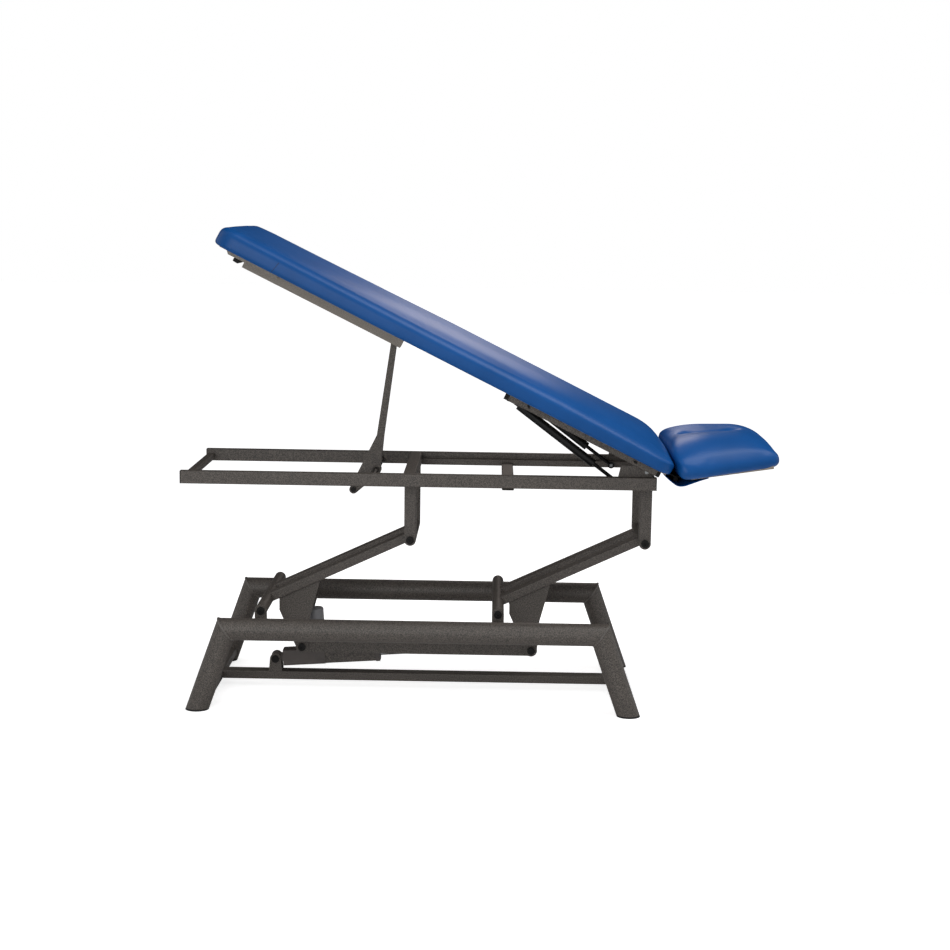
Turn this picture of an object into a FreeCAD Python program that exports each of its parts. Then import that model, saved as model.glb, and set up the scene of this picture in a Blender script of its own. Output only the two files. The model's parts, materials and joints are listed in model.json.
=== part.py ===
"""Two-section treatment table on a parallel-arm lifting base.

Millimetres. +X runs from the foot end to the headrest, +Y to the far side and +Z up.
The origin lies on the floor under the middle of the table. Everything is drawn in the
raised, tilted position of the reference view, which is joint value zero.
"""
import FreeCAD, Part
import os
import Sketcher

os.makedirs("parts", exist_ok=True)
doc = FreeCAD.newDocument("TreatmentTable")

SIZES = [
    # alias, millimetres or degrees, what it is
    ("corner_x", -818.2, "outer mitre corner of the base side frames, foot end"),
    ("base_length", 1225, "length of a side frame over its two mitre corners"),
    ("base_half", 310, "middle plane of a side frame from the centre plane"),
    ("base_top", 294, "top of the side tubes above the floor"),
    ("tube_dia", 70, "side frame tube diameter"),
    ("tube_wall", 2.5, "side frame tube wall"),
    ("leg_rake", 19.5, "lean of the legs from upright"),
    ("foot_high", 6, "thickness of the rubber foot pads"),
    ("foot_plug", 18, "depth of the plug of a foot pad inside its leg"),
    ("low_top", 50, "top of the low cross members and centre rail"),
    ("low_high", 27, "height of the low flat tubes"),
    ("low_wide", 50, "width of the low flat tubes"),
    ("flat_wall", 2, "wall of the rectangular tubes"),
    ("edge_round", 3, "rounded long edge of the rectangular tubes"),
    ("pivot_inset", 128, "foot arm pivot from the mitre corner"),
    ("pivot_pitch", 749, "from the foot arm pivot to the head arm pivot"),
    ("pivot_high", 308, "arm pivots above the floor"),
    ("arm_length", 512.5, "lower pivot to upper pivot"),
    ("arm_angle", 24.9, "slope of the arms in the drawn position"),
    ("arm_inner", 40, "inner face of an arm tube from the centre plane"),
    ("arm_wide", 50, "width of an arm tube"),
    ("arm_deep", 28, "depth of an arm tube"),
    ("hub_dia", 38, "cross hub at each end of an arm"),
    ("hub_wall", 4, "wall of the hubs"),
    ("lug_face", 250.5, "inner face of a base lug from the centre plane"),
    ("lug_plate", 8, "thickness of a base lug"),
    ("hub_gap", 0.5, "side clearance between a bush flange and its lug or leg"),
    ("bush_flange", 3, "thickness of a bush flange"),
    ("bush_long", 30, "length of a bush inside its hub"),
    ("pin_dia", 16, "pivot bolts and pins of the lifting gear"),
    ("fit_gap", 0.05, "radial running clearance on a pin"),
    ("head_dia", 25, "head of a pivot bolt"),
    ("head_high", 9, "height of a pivot bolt head"),
    ("socket_size", 12, "hexagon socket, across the corners"),
    ("socket_deep", 5, "depth of the hexagon socket"),
    ("gusset_plate", 8, "thickness of the lever plates under the arms"),
    ("gusset_face", 70, "inner face of a lever plate from the centre plane"),
    ("lever_x", 110.5, "lever pin in front of the arm pivot"),
    ("lever_drop", 160.5, "lever pin below the arm pivot"),
    ("lever_boss", 20, "radius of the lever plate round its pin"),
    ("lever_back", 37, "upright rear edge of the lever plate, from the arm pivot"),
    ("lever_front", 170, "front corner of the lever plate, from the arm pivot"),
    ("tie_plate", 8, "thickness of a tie bar"),
    ("tie_high", 40, "height of a tie bar"),
    ("mount_x", 145, "rear pin of the lift actuator from the mitre corner"),
    ("mount_high", 92, "rear pin of the lift actuator above the floor"),
    ("fork_inner", 38, "width between the ears of the actuator bracket"),
    ("fork_ear", 6, "thickness of a bracket ear"),
    ("fork_boss", 18, "radius of a bracket ear round its pin"),
    ("eye_boss", 16, "radius of the actuator eyes"),
    ("gear_from", 26, "rear face of the gear housing from the rear pin"),
    ("gear_to", 165, "front face of the gear housing from the rear pin"),
    ("gear_wide", 54, "width of the gear housing"),
    ("gear_below", 25, "gear housing below the actuator axis"),
    ("gear_above", 28, "gear housing above the actuator axis"),
    ("motor_x", 140, "motor axis from the rear pin"),
    ("motor_dia", 54, "lift motor diameter"),
    ("motor_high", 134, "height of the lift motor"),
    ("case_size", 47, "square outer tube of the actuator"),
    ("case_wall", 2.5, "wall of the outer tube"),
    ("case_to", 332, "end of the outer tube from the rear pin"),
    ("collar_long", 14, "length of the collar at the mouth of the outer tube"),
    ("collar_size", 51, "outside size of the collar"),
    ("ram_dia", 20, "lift rod diameter"),
    ("ram_long", 598, "lift rod from its eye to its inner end"),
    ("ram_eye", 24, "width of the lift rod eye"),
    ("frame_top", 752, "top of the upper frame above the floor"),
    ("frame_foot", 118.7, "foot end of the upper frame beyond the mitre corner"),
    ("frame_half", 272.6, "outer face of a side rail from the centre plane"),
    ("rail_high", 40, "height of the side rails"),
    ("rail_wide", 30, "width of the side rails"),
    ("plug_plate", 3, "thickness of the rail end plates"),
    ("foot_bar_in", 1, "foot crossbar from the foot end of the rails"),
    ("foot_bar_drop", 14, "foot crossbar below the top of the rails"),
    ("foot_bar_high", 20, "height of the foot crossbar"),
    ("foot_bar_wide", 25, "width of the foot crossbar"),
    ("cross_wide", 38, "width of the crossbars and drop legs"),
    ("leg_inner", 124, "inner face of a drop leg from the centre plane"),
    ("stiff_wide", 18, "width of the stiffener bars inside the side rails"),
    ("stiff_high", 22, "height of the stiffener bars"),
    ("tray_x", 883, "rear edge of the low crossbar from the mitre corner"),
    ("tray_drop", 29, "low crossbar below the top of the rails"),
    ("shaft_x", 473, "prop shaft from the mitre corner"),
    ("shaft_high", 727, "prop shaft above the floor"),
    ("shaft_dia", 22, "prop shaft diameter"),
    ("hinge_x", 1333, "section hinge from the mitre corner"),
    ("hinge_high", 768, "section hinge above the floor"),
    ("hinge_pin", 12, "section hinge pin diameter"),
    ("hinge_plate", 6, "thickness of the hinge brackets and ears"),
    ("hinge_gap", 0.5, "side clearance between a hinge bracket and its ear"),
    ("section_tilt", 26.3, "slope of the long section in the drawn position"),
    ("board_under", 25, "underside of the section board above its hinge"),
    ("board_thick", 15, "thickness of the boards"),
    ("board_inset", 24, "board edge inside the upholstery edge"),
    ("pad_foot", 1507, "foot end of the long pad from the hinge"),
    ("pad_head", 70, "head end of the long pad beyond the hinge"),
    ("pad_half", 340, "half width of the long pad"),
    ("pad_thick", 66, "long pad over its board"),
    ("pad_corner", 45, "corner radius of the pads seen from above"),
    ("pad_edge", 16, "rounding of the upper edges of the pads"),
    ("bar_inner", 256, "inner face of a section side bar from the centre plane"),
    ("bar_wide", 20, "width of a section side bar"),
    ("bar_high", 22, "height of a section side bar"),
    ("bar_foot", 489, "foot end of a side bar from the hinge"),
    ("bar_head", 26, "head end of a side bar beyond the hinge"),
    ("bar_screw", 69, "first screw of a side bar from its foot end"),
    ("bar_screw_b", 78, "second screw of a side bar from its head end"),
    ("screw_hole", 7, "screw holes of the side bars"),
    ("cap_long", 4, "visible thickness of the bar end caps"),
    ("cap_plug", 12, "depth of the plug of an end cap inside its bar"),
    ("guide_foot", 1428, "foot end of the prop guide from the hinge"),
    ("guide_head", 861, "head end of the prop guide from the hinge"),
    ("guide_half", 24, "inner face of a guide wall from the centre plane"),
    ("guide_wall", 4, "thickness of the guide walls and flanges"),
    ("guide_deep", 52, "depth of the guide walls below the board"),
    ("guide_flange", 20, "width of the guide flanges"),
    ("guide_stop", 24, "depth of the stop plate at the head end of the guide"),
    ("tip_x", 887.5, "prop roller from the hinge, along the section"),
    ("tip_drop", 18, "prop roller below the hinge line"),
    ("prop_inner", 12, "inner face of a prop plate from the centre plane"),
    ("prop_plate", 6, "thickness of a prop plate"),
    ("prop_tip", 9.5, "half width of a prop plate at its tip"),
    ("prop_boss", 17, "radius of a prop plate round the shaft"),
    ("prop_hub", 34, "prop hub diameter"),
    ("crank_back", 63, "crank pin behind the prop line"),
    ("crank_drop", 74.5, "crank pin below the prop shaft"),
    ("crank_boss", 14, "radius of the crank end"),
    ("roller_dia", 16, "prop roller diameter"),
    ("roller_half", 22.5, "half length of the prop roller"),
    ("stud_dia", 8, "ball studs, small pins and bolts"),
    ("spring_y", 205, "middle plane of a gas spring from the centre plane"),
    ("spring_top_x", 485, "upper gas spring stud from the section hinge"),
    ("spring_top_z", 6, "upper gas spring stud above the hinge line"),
    ("spring_low_x", 1252, "lower gas spring stud from the mitre corner"),
    ("spring_low_z", 723, "lower gas spring stud above the floor"),
    ("case_dia", 27, "gas spring cylinder diameter"),
    ("case_from", 38, "start of the gas spring cylinder from the upper stud"),
    ("case_long", 298, "length of the gas spring cylinder"),
    ("gas_rod", 12, "gas spring rod diameter"),
    ("gas_inside", 120, "gas spring rod inside its cylinder"),
    ("gas_bore", 20, "bore of the gas spring cylinder"),
    ("gas_eye", 11, "radius of the lower eye of a gas spring"),
    ("gas_play", 2.6, "radial play of the rubber-bushed lower eye"),
    ("head_hinge_x", 98, "headrest hinge beyond the section hinge"),
    ("head_hinge_z", 18, "headrest hinge above the section hinge line"),
    ("head_slope", 6.2, "slope of the headrest in the drawn position"),
    ("leaf_thick", 4, "thickness of the headrest hinge leaves"),
    ("leaf_wide", 60, "width of a headrest hinge leaf"),
    ("leaf_long", 88, "length of a headrest hinge leaf"),
    ("leaf_y", 170, "middle of a headrest hinge from the centre plane"),
    ("knuckle_dia", 14, "knuckle diameter of the headrest hinges"),
    ("knuckle_pin", 8, "pin diameter of the headrest hinges"),
    ("rest_from", 16, "near end of the headrest pad from its hinge"),
    ("rest_long", 314, "length of the headrest pad"),
    ("rest_half", 318, "half width of the headrest pad at its hinge end"),
    ("rest_half_end", 252, "half width of the headrest pad at its free end"),
    ("rest_thick", 86, "headrest pad over its board"),
]

sheet = doc.addObject("Spreadsheet::Sheet", "Sizes")
for row, (alias, size, note) in enumerate(SIZES, start=1):
    sheet.set(f"A{row}", alias)
    sheet.set(f"B{row}", str(size))
    sheet.set(f"C{row}", note)
    sheet.setAlias(f"B{row}", alias)
doc.recompute()

# Places that several pieces share, written as expressions of the sheet.
X0 = "Sizes.corner_x"
TUBE_R = "Sizes.tube_dia / 2"
TUBE_Z = "(Sizes.base_top - Sizes.tube_dia / 2)"
MITRE = "(Sizes.tube_dia / 2 / tan(45 + Sizes.leg_rake / 2))"
RAKE = "tan(Sizes.leg_rake)"
BASE_MID = "(Sizes.corner_x + Sizes.base_length / 2)"
FOOT_PIVOT = "(Sizes.corner_x + Sizes.pivot_inset)"
HEAD_PIVOT = "(Sizes.corner_x + Sizes.pivot_inset + Sizes.pivot_pitch)"
ARM_RUN = "(Sizes.arm_length * cos(Sizes.arm_angle))"
ARM_RISE = "(Sizes.arm_length * sin(Sizes.arm_angle))"
UPPER_Z = f"(Sizes.pivot_high + {ARM_RISE})"
HUB_R = "Sizes.hub_dia / 2"
PIN_R = "Sizes.pin_dia / 2"
BORE_R = "(Sizes.pin_dia / 2 + Sizes.fit_gap)"
LEVER_Z = "(Sizes.pivot_high - Sizes.lever_drop)"
TIE_FACE = "(Sizes.gusset_face - Sizes.hub_gap)"
MOUNT = "(Sizes.corner_x + Sizes.mount_x)"
LIFT_DX = "(Sizes.pivot_inset + Sizes.pivot_pitch + Sizes.lever_x - Sizes.mount_x)"
LIFT_DZ = "(Sizes.pivot_high - Sizes.lever_drop - Sizes.mount_high)"
LIFT_ANGLE = f"atan({LIFT_DZ} / {LIFT_DX})"
FRAME_FOOT = "(Sizes.corner_x - Sizes.frame_foot)"
FRAME_HEAD = f"({HEAD_PIVOT} + {ARM_RUN} + Sizes.cross_wide / 2)"
RAIL_IN = "(Sizes.frame_half - Sizes.rail_wide)"
RAIL_Z = "(Sizes.frame_top - Sizes.rail_high)"
HINGE = "(Sizes.corner_x + Sizes.hinge_x)"
TIP_X = ("(Sizes.hinge_x - Sizes.tip_x * cos(Sizes.section_tilt)"
         " - Sizes.tip_drop * sin(Sizes.section_tilt))")
TIP_Z = ("(Sizes.hinge_high + Sizes.tip_x * sin(Sizes.section_tilt)"
         " - Sizes.tip_drop * cos(Sizes.section_tilt))")
PROP_DX = f"({TIP_X} - Sizes.shaft_x)"
PROP_DZ = f"({TIP_Z} - Sizes.shaft_high)"
PROP_LONG = f"sqrt({PROP_DX}^2 + {PROP_DZ}^2)"
SPRING_X = ("(Sizes.hinge_x - Sizes.spring_top_x * cos(Sizes.section_tilt)"
            " + Sizes.spring_top_z * sin(Sizes.section_tilt))")
SPRING_Z = ("(Sizes.hinge_high + Sizes.spring_top_x * sin(Sizes.section_tilt)"
            " + Sizes.spring_top_z * cos(Sizes.section_tilt))")
SPRING_DX = f"(Sizes.spring_low_x - {SPRING_X})"
SPRING_DZ = f"({SPRING_Z} - Sizes.spring_low_z)"
SPRING_LONG = f"sqrt({SPRING_DX}^2 + {SPRING_DZ}^2)"
REST_X = ("(Sizes.corner_x + Sizes.hinge_x + Sizes.head_hinge_x * cos(Sizes.section_tilt)"
          " + Sizes.head_hinge_z * sin(Sizes.section_tilt))")
REST_Z = ("(Sizes.hinge_high - Sizes.head_hinge_x * sin(Sizes.section_tilt)"
          " + Sizes.head_hinge_z * cos(Sizes.section_tilt))")
REST_UNDER = "(Sizes.board_under - Sizes.head_hinge_z)"

UP = (0, 0, 1)
RAISE = (0, -1, 0)
LOWER = (0, 1, 0)
nodes = {}


def value(text):
    """Number of an expression of the sheet."""
    return float(sheet.evalExpression(text))


def bind(obj, settings):
    """Bind properties to expressions of the sheet."""
    for prop, text in settings.items():
        obj.setExpression(prop, text)


def lay(obj, x="0", y="0", z="0", axis=UP, angle="0"):
    """Place an object, turned about an axis through its own origin."""
    start = FreeCAD.Rotation(FreeCAD.Vector(*axis), 1)
    obj.Placement = FreeCAD.Placement(FreeCAD.Vector(), start)
    bind(obj, {
        "Placement.Base.x": x,
        "Placement.Base.y": y,
        "Placement.Base.z": z,
        "Placement.Rotation.Angle": angle,
    })
    return obj


def new_body(label):
    body = doc.addObject("PartDesign::Body", label)
    body.Label = label
    return body


def block(body, low, size, kind="Additive"):
    """Box feature from its low corner and its size along X, Y and Z."""
    feature = body.newObject(f"PartDesign::{kind}Box", f"{kind}Box")
    bind(feature, {
        "Length": size[0],
        "Width": size[1],
        "Height": size[2],
        "Placement.Base.x": low[0],
        "Placement.Base.y": low[1],
        "Placement.Base.z": low[2],
    })
    return feature


def void(body, low, size):
    return block(body, low, size, "Subtractive")


def drum(body, x, y, z, radius, length, turn=(1, 0, 0, -90), kind="Additive"):
    """Cylinder feature; it starts at x, y, z and runs along +Y unless turned."""
    feature = body.newObject(f"PartDesign::{kind}Cylinder", f"{kind}Cylinder")
    rotation = FreeCAD.Rotation(FreeCAD.Vector(*turn[:3]), turn[3])
    feature.Placement = FreeCAD.Placement(FreeCAD.Vector(), rotation)
    bind(feature, {
        "Radius": radius,
        "Height": length,
        "Placement.Base.x": x,
        "Placement.Base.y": y,
        "Placement.Base.z": z,
    })
    return feature


def bore(body, x, y, z, radius, length, turn=(1, 0, 0, -90)):
    return drum(body, x, y, z, radius, length, turn, "Subtractive")


ALONG_X = (0, 1, 0, 90)
ALONG_Z = (0, 0, 1, 0)


def outline(body, points, thick, plane="XZ_Plane"):
    """Pad a closed outline evenly to both sides of the plane that it is drawn on."""
    sketch = body.newObject("Sketcher::SketchObject", "Outline")
    origin = [part for part in body.Origin.OriginFeatures if part.Role == plane][0]
    sketch.AttachmentSupport = [(origin, "")]
    sketch.MapMode = "FlatFace"
    corners = [(value(x), value(y)) for x, y in points]
    count = len(corners)
    for index, corner in enumerate(corners):
        following = corners[(index + 1) % count]
        edge = Part.LineSegment(FreeCAD.Vector(*corner, 0), FreeCAD.Vector(*following, 0))
        sketch.addGeometry(edge, False)
    for index in range(count):
        sketch.addConstraint(Sketcher.Constraint("Coincident", index, 2, (index + 1) % count, 1))
    for index, (x, y) in enumerate(points):
        for kind, text, size in (("DistanceX", x, corners[index][0]),
                                 ("DistanceY", y, corners[index][1])):
            number = sketch.addConstraint(Sketcher.Constraint(kind, -1, 1, index, 1, size))
            sketch.setExpression(f"Constraints[{number}]", text)
    pad = body.newObject("PartDesign::Pad", "Pad")
    pad.Profile = sketch
    pad.SideType = "Symmetric"
    pad.setExpression("Length", thick)
    sketch.Visibility = False
    return pad


def round_edges(body, feature, radius, chosen):
    """Fillet the edges of a feature for which chosen(edge) is true."""
    doc.recompute()
    names = [f"Edge{number}" for number, edge in enumerate(feature.Shape.Edges, start=1)
             if chosen(edge)]
    fillet = body.newObject("PartDesign::Fillet", "Rounding")
    fillet.Base = (feature, names)
    fillet.setExpression("Radius", radius)
    return fillet


def runs_along(axis):
    """Test for straight edges along X, Y or Z."""
    def chosen(edge):
        if edge.Curve.TypeId != "Part::GeomLine":
            return False
        return abs(edge.tangentAt(edge.FirstParameter)[axis]) > 0.999
    return chosen


def flat_tube(body, low, size, axis, wall="Sizes.flat_wall"):
    """Rectangular tube along X (0) or Y (1) or Z (2), with rounded long edges and open ends."""
    solid = block(body, low, size)
    round_edges(body, solid, "Sizes.edge_round", runs_along(axis))
    inner_low = [low[side] if side == axis else f"{low[side]} + {wall}" for side in range(3)]
    inner_size = [size[side] if side == axis else f"{size[side]} - 2 * {wall}"
                  for side in range(3)]
    void(body, inner_low, inner_size)
    return body


def rod(label, radius, length, x, y, z, axis, angle):
    """Plain cylinder as a part of a boolean."""
    cylinder = doc.addObject("Part::Cylinder", label)
    bind(cylinder, {"Radius": radius, "Height": length})
    return lay(cylinder, x, y, z, axis, angle)


def combine(kind, label, base, tool):
    """Part::Cut or Part::Common of two objects."""
    result = doc.addObject(f"Part::{kind}", label)
    result.Base = base
    result.Tool = tool
    return result


def mirrored(source, normal=(0, 1, 0), base_x="0"):
    """The same piece on the other side of the table, or at its other end."""
    copy = doc.addObject("Part::Mirroring", f"{source.Label}_mirrored")
    copy.Source = source
    copy.Normal = FreeCAD.Vector(*normal)
    copy.setExpression("Base.x", base_x)
    return copy


def at_head_end(source):
    return mirrored(source, (1, 0, 0), BASE_MID)


def keep(label, *pieces):
    """Make one named sub-part out of one piece, or of a group of like pieces."""
    if len(pieces) == 1:
        piece = pieces[0]
    else:
        piece = doc.addObject("Part::Compound", label)
        piece.Links = list(pieces)
    piece.Label = label
    nodes[label] = piece
    return piece


def cap_screw(label, x, face, z, shank, pin="Sizes.pin_dia / 2", head="Sizes.head_dia / 2",
              high="Sizes.head_high"):
    """Socket-head screw on the near side, its head against the plane y = face."""
    body = new_body(label)
    drum(body, "0", "0", "0", pin, shank)
    drum(body, "0", f"-({high})", "0", head, high)
    socket = body.newObject("PartDesign::SubtractivePrism", "Socket")
    socket.Polygon = 6
    turn = FreeCAD.Rotation(FreeCAD.Vector(1, 0, 0), -90)
    socket.Placement = FreeCAD.Placement(FreeCAD.Vector(), turn)
    bind(socket, {
        "Circumradius": "Sizes.socket_size / 2",
        "Height": "Sizes.socket_deep",
        "Placement.Base.y": f"-({high})",
    })
    return lay(body, x, face, z)


def both_sides(source):
    return [source, mirrored(source)]


def base_side_frames():
    """Round tubes with mitred legs, one frame on each side, on rubber foot pads."""
    inner_r = "(Sizes.tube_dia / 2 - Sizes.tube_wall)"
    near = "-Sizes.base_half"
    outer_x = f"({X0} - Sizes.base_top * {RAKE})"

    side = new_body("side_tube_outline")
    far_corner = f"({X0} + Sizes.base_length)"
    outline(side, [
        (X0, "Sizes.base_top"),
        (far_corner, "Sizes.base_top"),
        (f"({far_corner} - 2 * {MITRE})", "Sizes.base_top - Sizes.tube_dia"),
        (f"({X0} + 2 * {MITRE})", "Sizes.base_top - Sizes.tube_dia"),
    ], "Sizes.tube_dia + 20")
    lay(side, y=near)
    tube = rod("side_tube_outside", TUBE_R, "Sizes.base_length", X0, near, TUBE_Z, (0, 1, 0), "90")
    hollow = rod("side_tube_inside", inner_r, "Sizes.base_length", X0, near, TUBE_Z,
                 (0, 1, 0), "90")
    solid = combine("Common", "side_tube_solid", tube, side)
    keep("base_side_tubes", *both_sides(combine("Cut", "near_side_tube", solid, hollow)))

    def raked(label, radius):
        start = "(0 - 40)"
        x = f"({X0} + {MITRE} - ({TUBE_Z} - {start}) * {RAKE})"
        return rod(label, radius, "Sizes.base_top + 100", x, near, start, (0, 1, 0),
                   "Sizes.leg_rake")

    def leg_outline(label, low, high_points):
        body = new_body(label)
        outline(body, [
            (f"({outer_x} + ({low}) * {RAKE})", low),
            *high_points,
            (f"({outer_x} + (2 * {MITRE} + Sizes.tube_dia * {RAKE}) + ({low}) * {RAKE})", low),
        ], "Sizes.tube_dia + 20")
        return lay(body, y=near)

    mitre_points = [
        (X0, "Sizes.base_top"),
        (f"({X0} + 2 * {MITRE})", "Sizes.base_top - Sizes.tube_dia"),
    ]
    leg_side = leg_outline("leg_outline", "Sizes.foot_high", mitre_points)
    leg_tube = raked("leg_outside", TUBE_R)
    leg = combine("Common", "leg_solid", leg_tube, leg_side)
    near_leg = combine("Cut", "near_foot_leg", leg, raked("leg_inside", inner_r))
    keep("base_legs", *both_sides(near_leg), *both_sides(at_head_end(near_leg)))

    wide = "Sizes.tube_dia"
    sole = new_body("foot_sole_outline")
    block(sole, (f"({outer_x} - {wide})", near + " - " + wide, "0"),
          (f"4 * {wide}", f"2 * {wide}", "Sizes.foot_high"))
    plug = new_body("foot_plug_outline")
    block(plug, (f"({outer_x} - {wide})", near + " - " + wide, "0"),
          (f"4 * {wide}", f"2 * {wide}", "Sizes.foot_high + Sizes.foot_plug"))
    pad = combine("Common", "foot_sole", raked("foot_outside", TUBE_R), sole)
    stem = combine("Common", "foot_stem", raked("foot_inside", inner_r), plug)
    foot = combine("Fuse", "rubber_foot", pad, stem)
    foot_head = at_head_end(foot)
    keep("rubber_feet", *both_sides(foot), *both_sides(foot_head))
    return tube, leg_tube


def base_low_frame(leg_tube):
    """Flat tubes near the floor: one across at each end and one down the middle."""
    mid_z = "(Sizes.low_top - Sizes.low_high / 2)"
    low_z = "Sizes.low_top - Sizes.low_high"
    axis_x = f"({X0} + {MITRE} - ({TUBE_Z} - {mid_z}) * {RAKE})"
    cross = new_body("foot_cross_blank")
    flat_tube(cross, (f"{axis_x} - Sizes.low_wide / 2", "-Sizes.base_half", low_z),
              ("Sizes.low_wide", "2 * Sizes.base_half", "Sizes.low_high"), 1)
    near_coped = combine("Cut", "foot_cross_near", cross, leg_tube)
    coped = combine("Cut", "foot_cross_member", near_coped, mirrored(leg_tube))
    keep("low_cross_members", coped, at_head_end(coped))
    rail = new_body("centre_rail")
    start = f"({axis_x} + Sizes.low_wide / 2)"
    flat_tube(rail, (start, "-Sizes.low_wide / 2", low_z),
              (f"2 * ({BASE_MID} - {start})", "Sizes.low_wide", "Sizes.low_high"), 0)
    keep("centre_rail", rail)


def actuator_bracket():
    """Welded fork on the centre rail, with the rear pin of the lift actuator."""
    base_z = "(Sizes.low_top - Sizes.mount_high)"
    across = "(Sizes.fork_inner + 2 * Sizes.fork_ear)"
    body = new_body("actuator_bracket")
    outline(body, [
        ("-1.2 * Sizes.fork_boss", base_z),
        ("1.2 * Sizes.fork_boss", base_z),
        ("Sizes.fork_boss", "0"),
        ("-Sizes.fork_boss", "0"),
    ], across)
    drum(body, "0", f"-{across} / 2", "0", "Sizes.fork_boss", across)
    void(body, ("-2 * Sizes.fork_boss", "-Sizes.fork_inner / 2", f"{base_z} + Sizes.fork_ear"),
         ("4 * Sizes.fork_boss", "Sizes.fork_inner", "2 * Sizes.mount_high"))
    bore(body, "0", f"-{across} / 2", "0", PIN_R, across)
    keep("actuator_bracket", lay(body, MOUNT, "0", "Sizes.mount_high"))

    pin = new_body("actuator_rear_pin")
    half = f"({across} / 2)"
    drum(pin, "0", f"-{half}", "0", PIN_R, across)
    drum(pin, "0", f"-{half} - Sizes.head_high / 2", "0", "Sizes.head_dia / 2",
         "Sizes.head_high / 2")
    drum(pin, "0", half, "0", "Sizes.head_dia / 2", "Sizes.head_high / 2")
    keep("actuator_rear_pin", lay(pin, MOUNT, "0", "Sizes.mount_high"))


def base_lugs(tube):
    """Lugs welded inside the side tubes, with the four lower pivot bolts."""
    top = "(Sizes.lug_face + Sizes.lug_plate)"
    lugs = []
    bolts = []
    for label, pivot in (("foot", FOOT_PIVOT), ("head", HEAD_PIVOT)):
        body = new_body(f"{label}_lug_blank")
        block(body, (f"-{HUB_R}", f"-{top}", f"{TUBE_Z} - Sizes.pivot_high"),
              ("Sizes.hub_dia", "Sizes.lug_plate", f"Sizes.pivot_high - {TUBE_Z}"))
        drum(body, "0", f"-{top}", "0", HUB_R, "Sizes.lug_plate")
        block(body, (f"-{HUB_R}", "-Sizes.base_half", f"{TUBE_Z} - Sizes.pivot_high"),
              ("Sizes.hub_dia", f"Sizes.base_half - Sizes.lug_face", f"{TUBE_R} / 2"))
        bore(body, "0", f"-{top}", "0", PIN_R, "Sizes.lug_plate")
        lay(body, pivot, "0", "Sizes.pivot_high")
        lugs += both_sides(combine("Cut", f"{label}_lug", body, tube))
        bolt = cap_screw(f"{label}_pivot_bolt", pivot, f"-{top}", "Sizes.pivot_high",
                         "Sizes.lug_plate + Sizes.bush_long")
        bolts += both_sides(bolt)
    keep("base_pivot_lugs", *lugs)
    keep("base_pivot_bolts", *bolts)


def lifting_arm(name, pivot):
    """One arm: two flat tubes between two cross hubs, bushed ends and two lever plates."""
    placed = {"x": pivot, "z": "Sizes.pivot_high", "axis": RAISE, "angle": "Sizes.arm_angle"}
    tube = new_body(f"{name}_tube")
    low = ("0", "-Sizes.arm_inner - Sizes.arm_wide", "-Sizes.arm_deep / 2")
    flat_tube(tube, low, ("Sizes.arm_length", "Sizes.arm_wide", "Sizes.arm_deep"), 0)
    for end in ("0", "Sizes.arm_length"):
        bore(tube, end, low[1], "0", HUB_R, "Sizes.arm_wide")
    lay(tube, **placed)
    keep(f"{name}_tubes", *both_sides(tube))

    lower_half = "(Sizes.lug_face - Sizes.hub_gap - Sizes.bush_flange)"
    upper_half = "(Sizes.leg_inner - Sizes.hub_gap - Sizes.bush_flange)"
    hubs = []
    bushes = []
    for where, along, half in (("lower", "0", lower_half),
                               ("upper", "Sizes.arm_length", upper_half)):
        hub = new_body(f"{name}_{where}_hub")
        drum(hub, along, f"-{half}", "0", HUB_R, f"2 * {half}")
        bore(hub, along, f"-{half}", "0", f"{HUB_R} - Sizes.hub_wall", f"2 * {half}")
        hubs.append(lay(hub, **placed))
        bush = new_body(f"{name}_{where}_bush")
        drum(bush, along, f"-{half}", "0", f"{HUB_R} - Sizes.hub_wall", "Sizes.bush_long")
        drum(bush, along, f"-{half} - Sizes.bush_flange", "0", f"{HUB_R} - 1",
             "Sizes.bush_flange")
        bore(bush, along, f"-{half} - Sizes.bush_flange", "0", BORE_R,
             "Sizes.bush_long + Sizes.bush_flange")
        bushes += both_sides(lay(bush, **placed))
    keep(f"{name}_hubs", *hubs)
    keep(f"{name}_bushes", *bushes)

    def underside(x):
        return f"(({x}) * tan(Sizes.arm_angle) - Sizes.arm_deep / 2 / cos(Sizes.arm_angle))"

    plate = new_body(f"{name}_lever")
    outline(plate, [
        ("Sizes.lever_back", underside("Sizes.lever_back")),
        ("Sizes.lever_back", "-Sizes.hub_dia"),
        ("Sizes.lever_x - 0.95 * Sizes.lever_boss", "-Sizes.lever_drop"),
        ("Sizes.lever_x + 0.95 * Sizes.lever_boss", "-Sizes.lever_drop"),
        ("Sizes.lever_x + 1.3 * Sizes.lever_boss", "-1.6 * Sizes.hub_dia"),
        ("Sizes.lever_front", underside("Sizes.lever_front")),
    ], "Sizes.gusset_plate")
    drum(plate, "Sizes.lever_x", "-Sizes.gusset_plate / 2", "-Sizes.lever_drop",
         "Sizes.lever_boss", "Sizes.gusset_plate")
    bore(plate, "Sizes.lever_x", "-Sizes.gusset_plate / 2", "-Sizes.lever_drop", PIN_R,
         "Sizes.gusset_plate")
    lay(plate, pivot, "-Sizes.gusset_face - Sizes.gusset_plate / 2", "Sizes.pivot_high")
    keep(f"{name}_lever_plates", *both_sides(plate))


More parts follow.
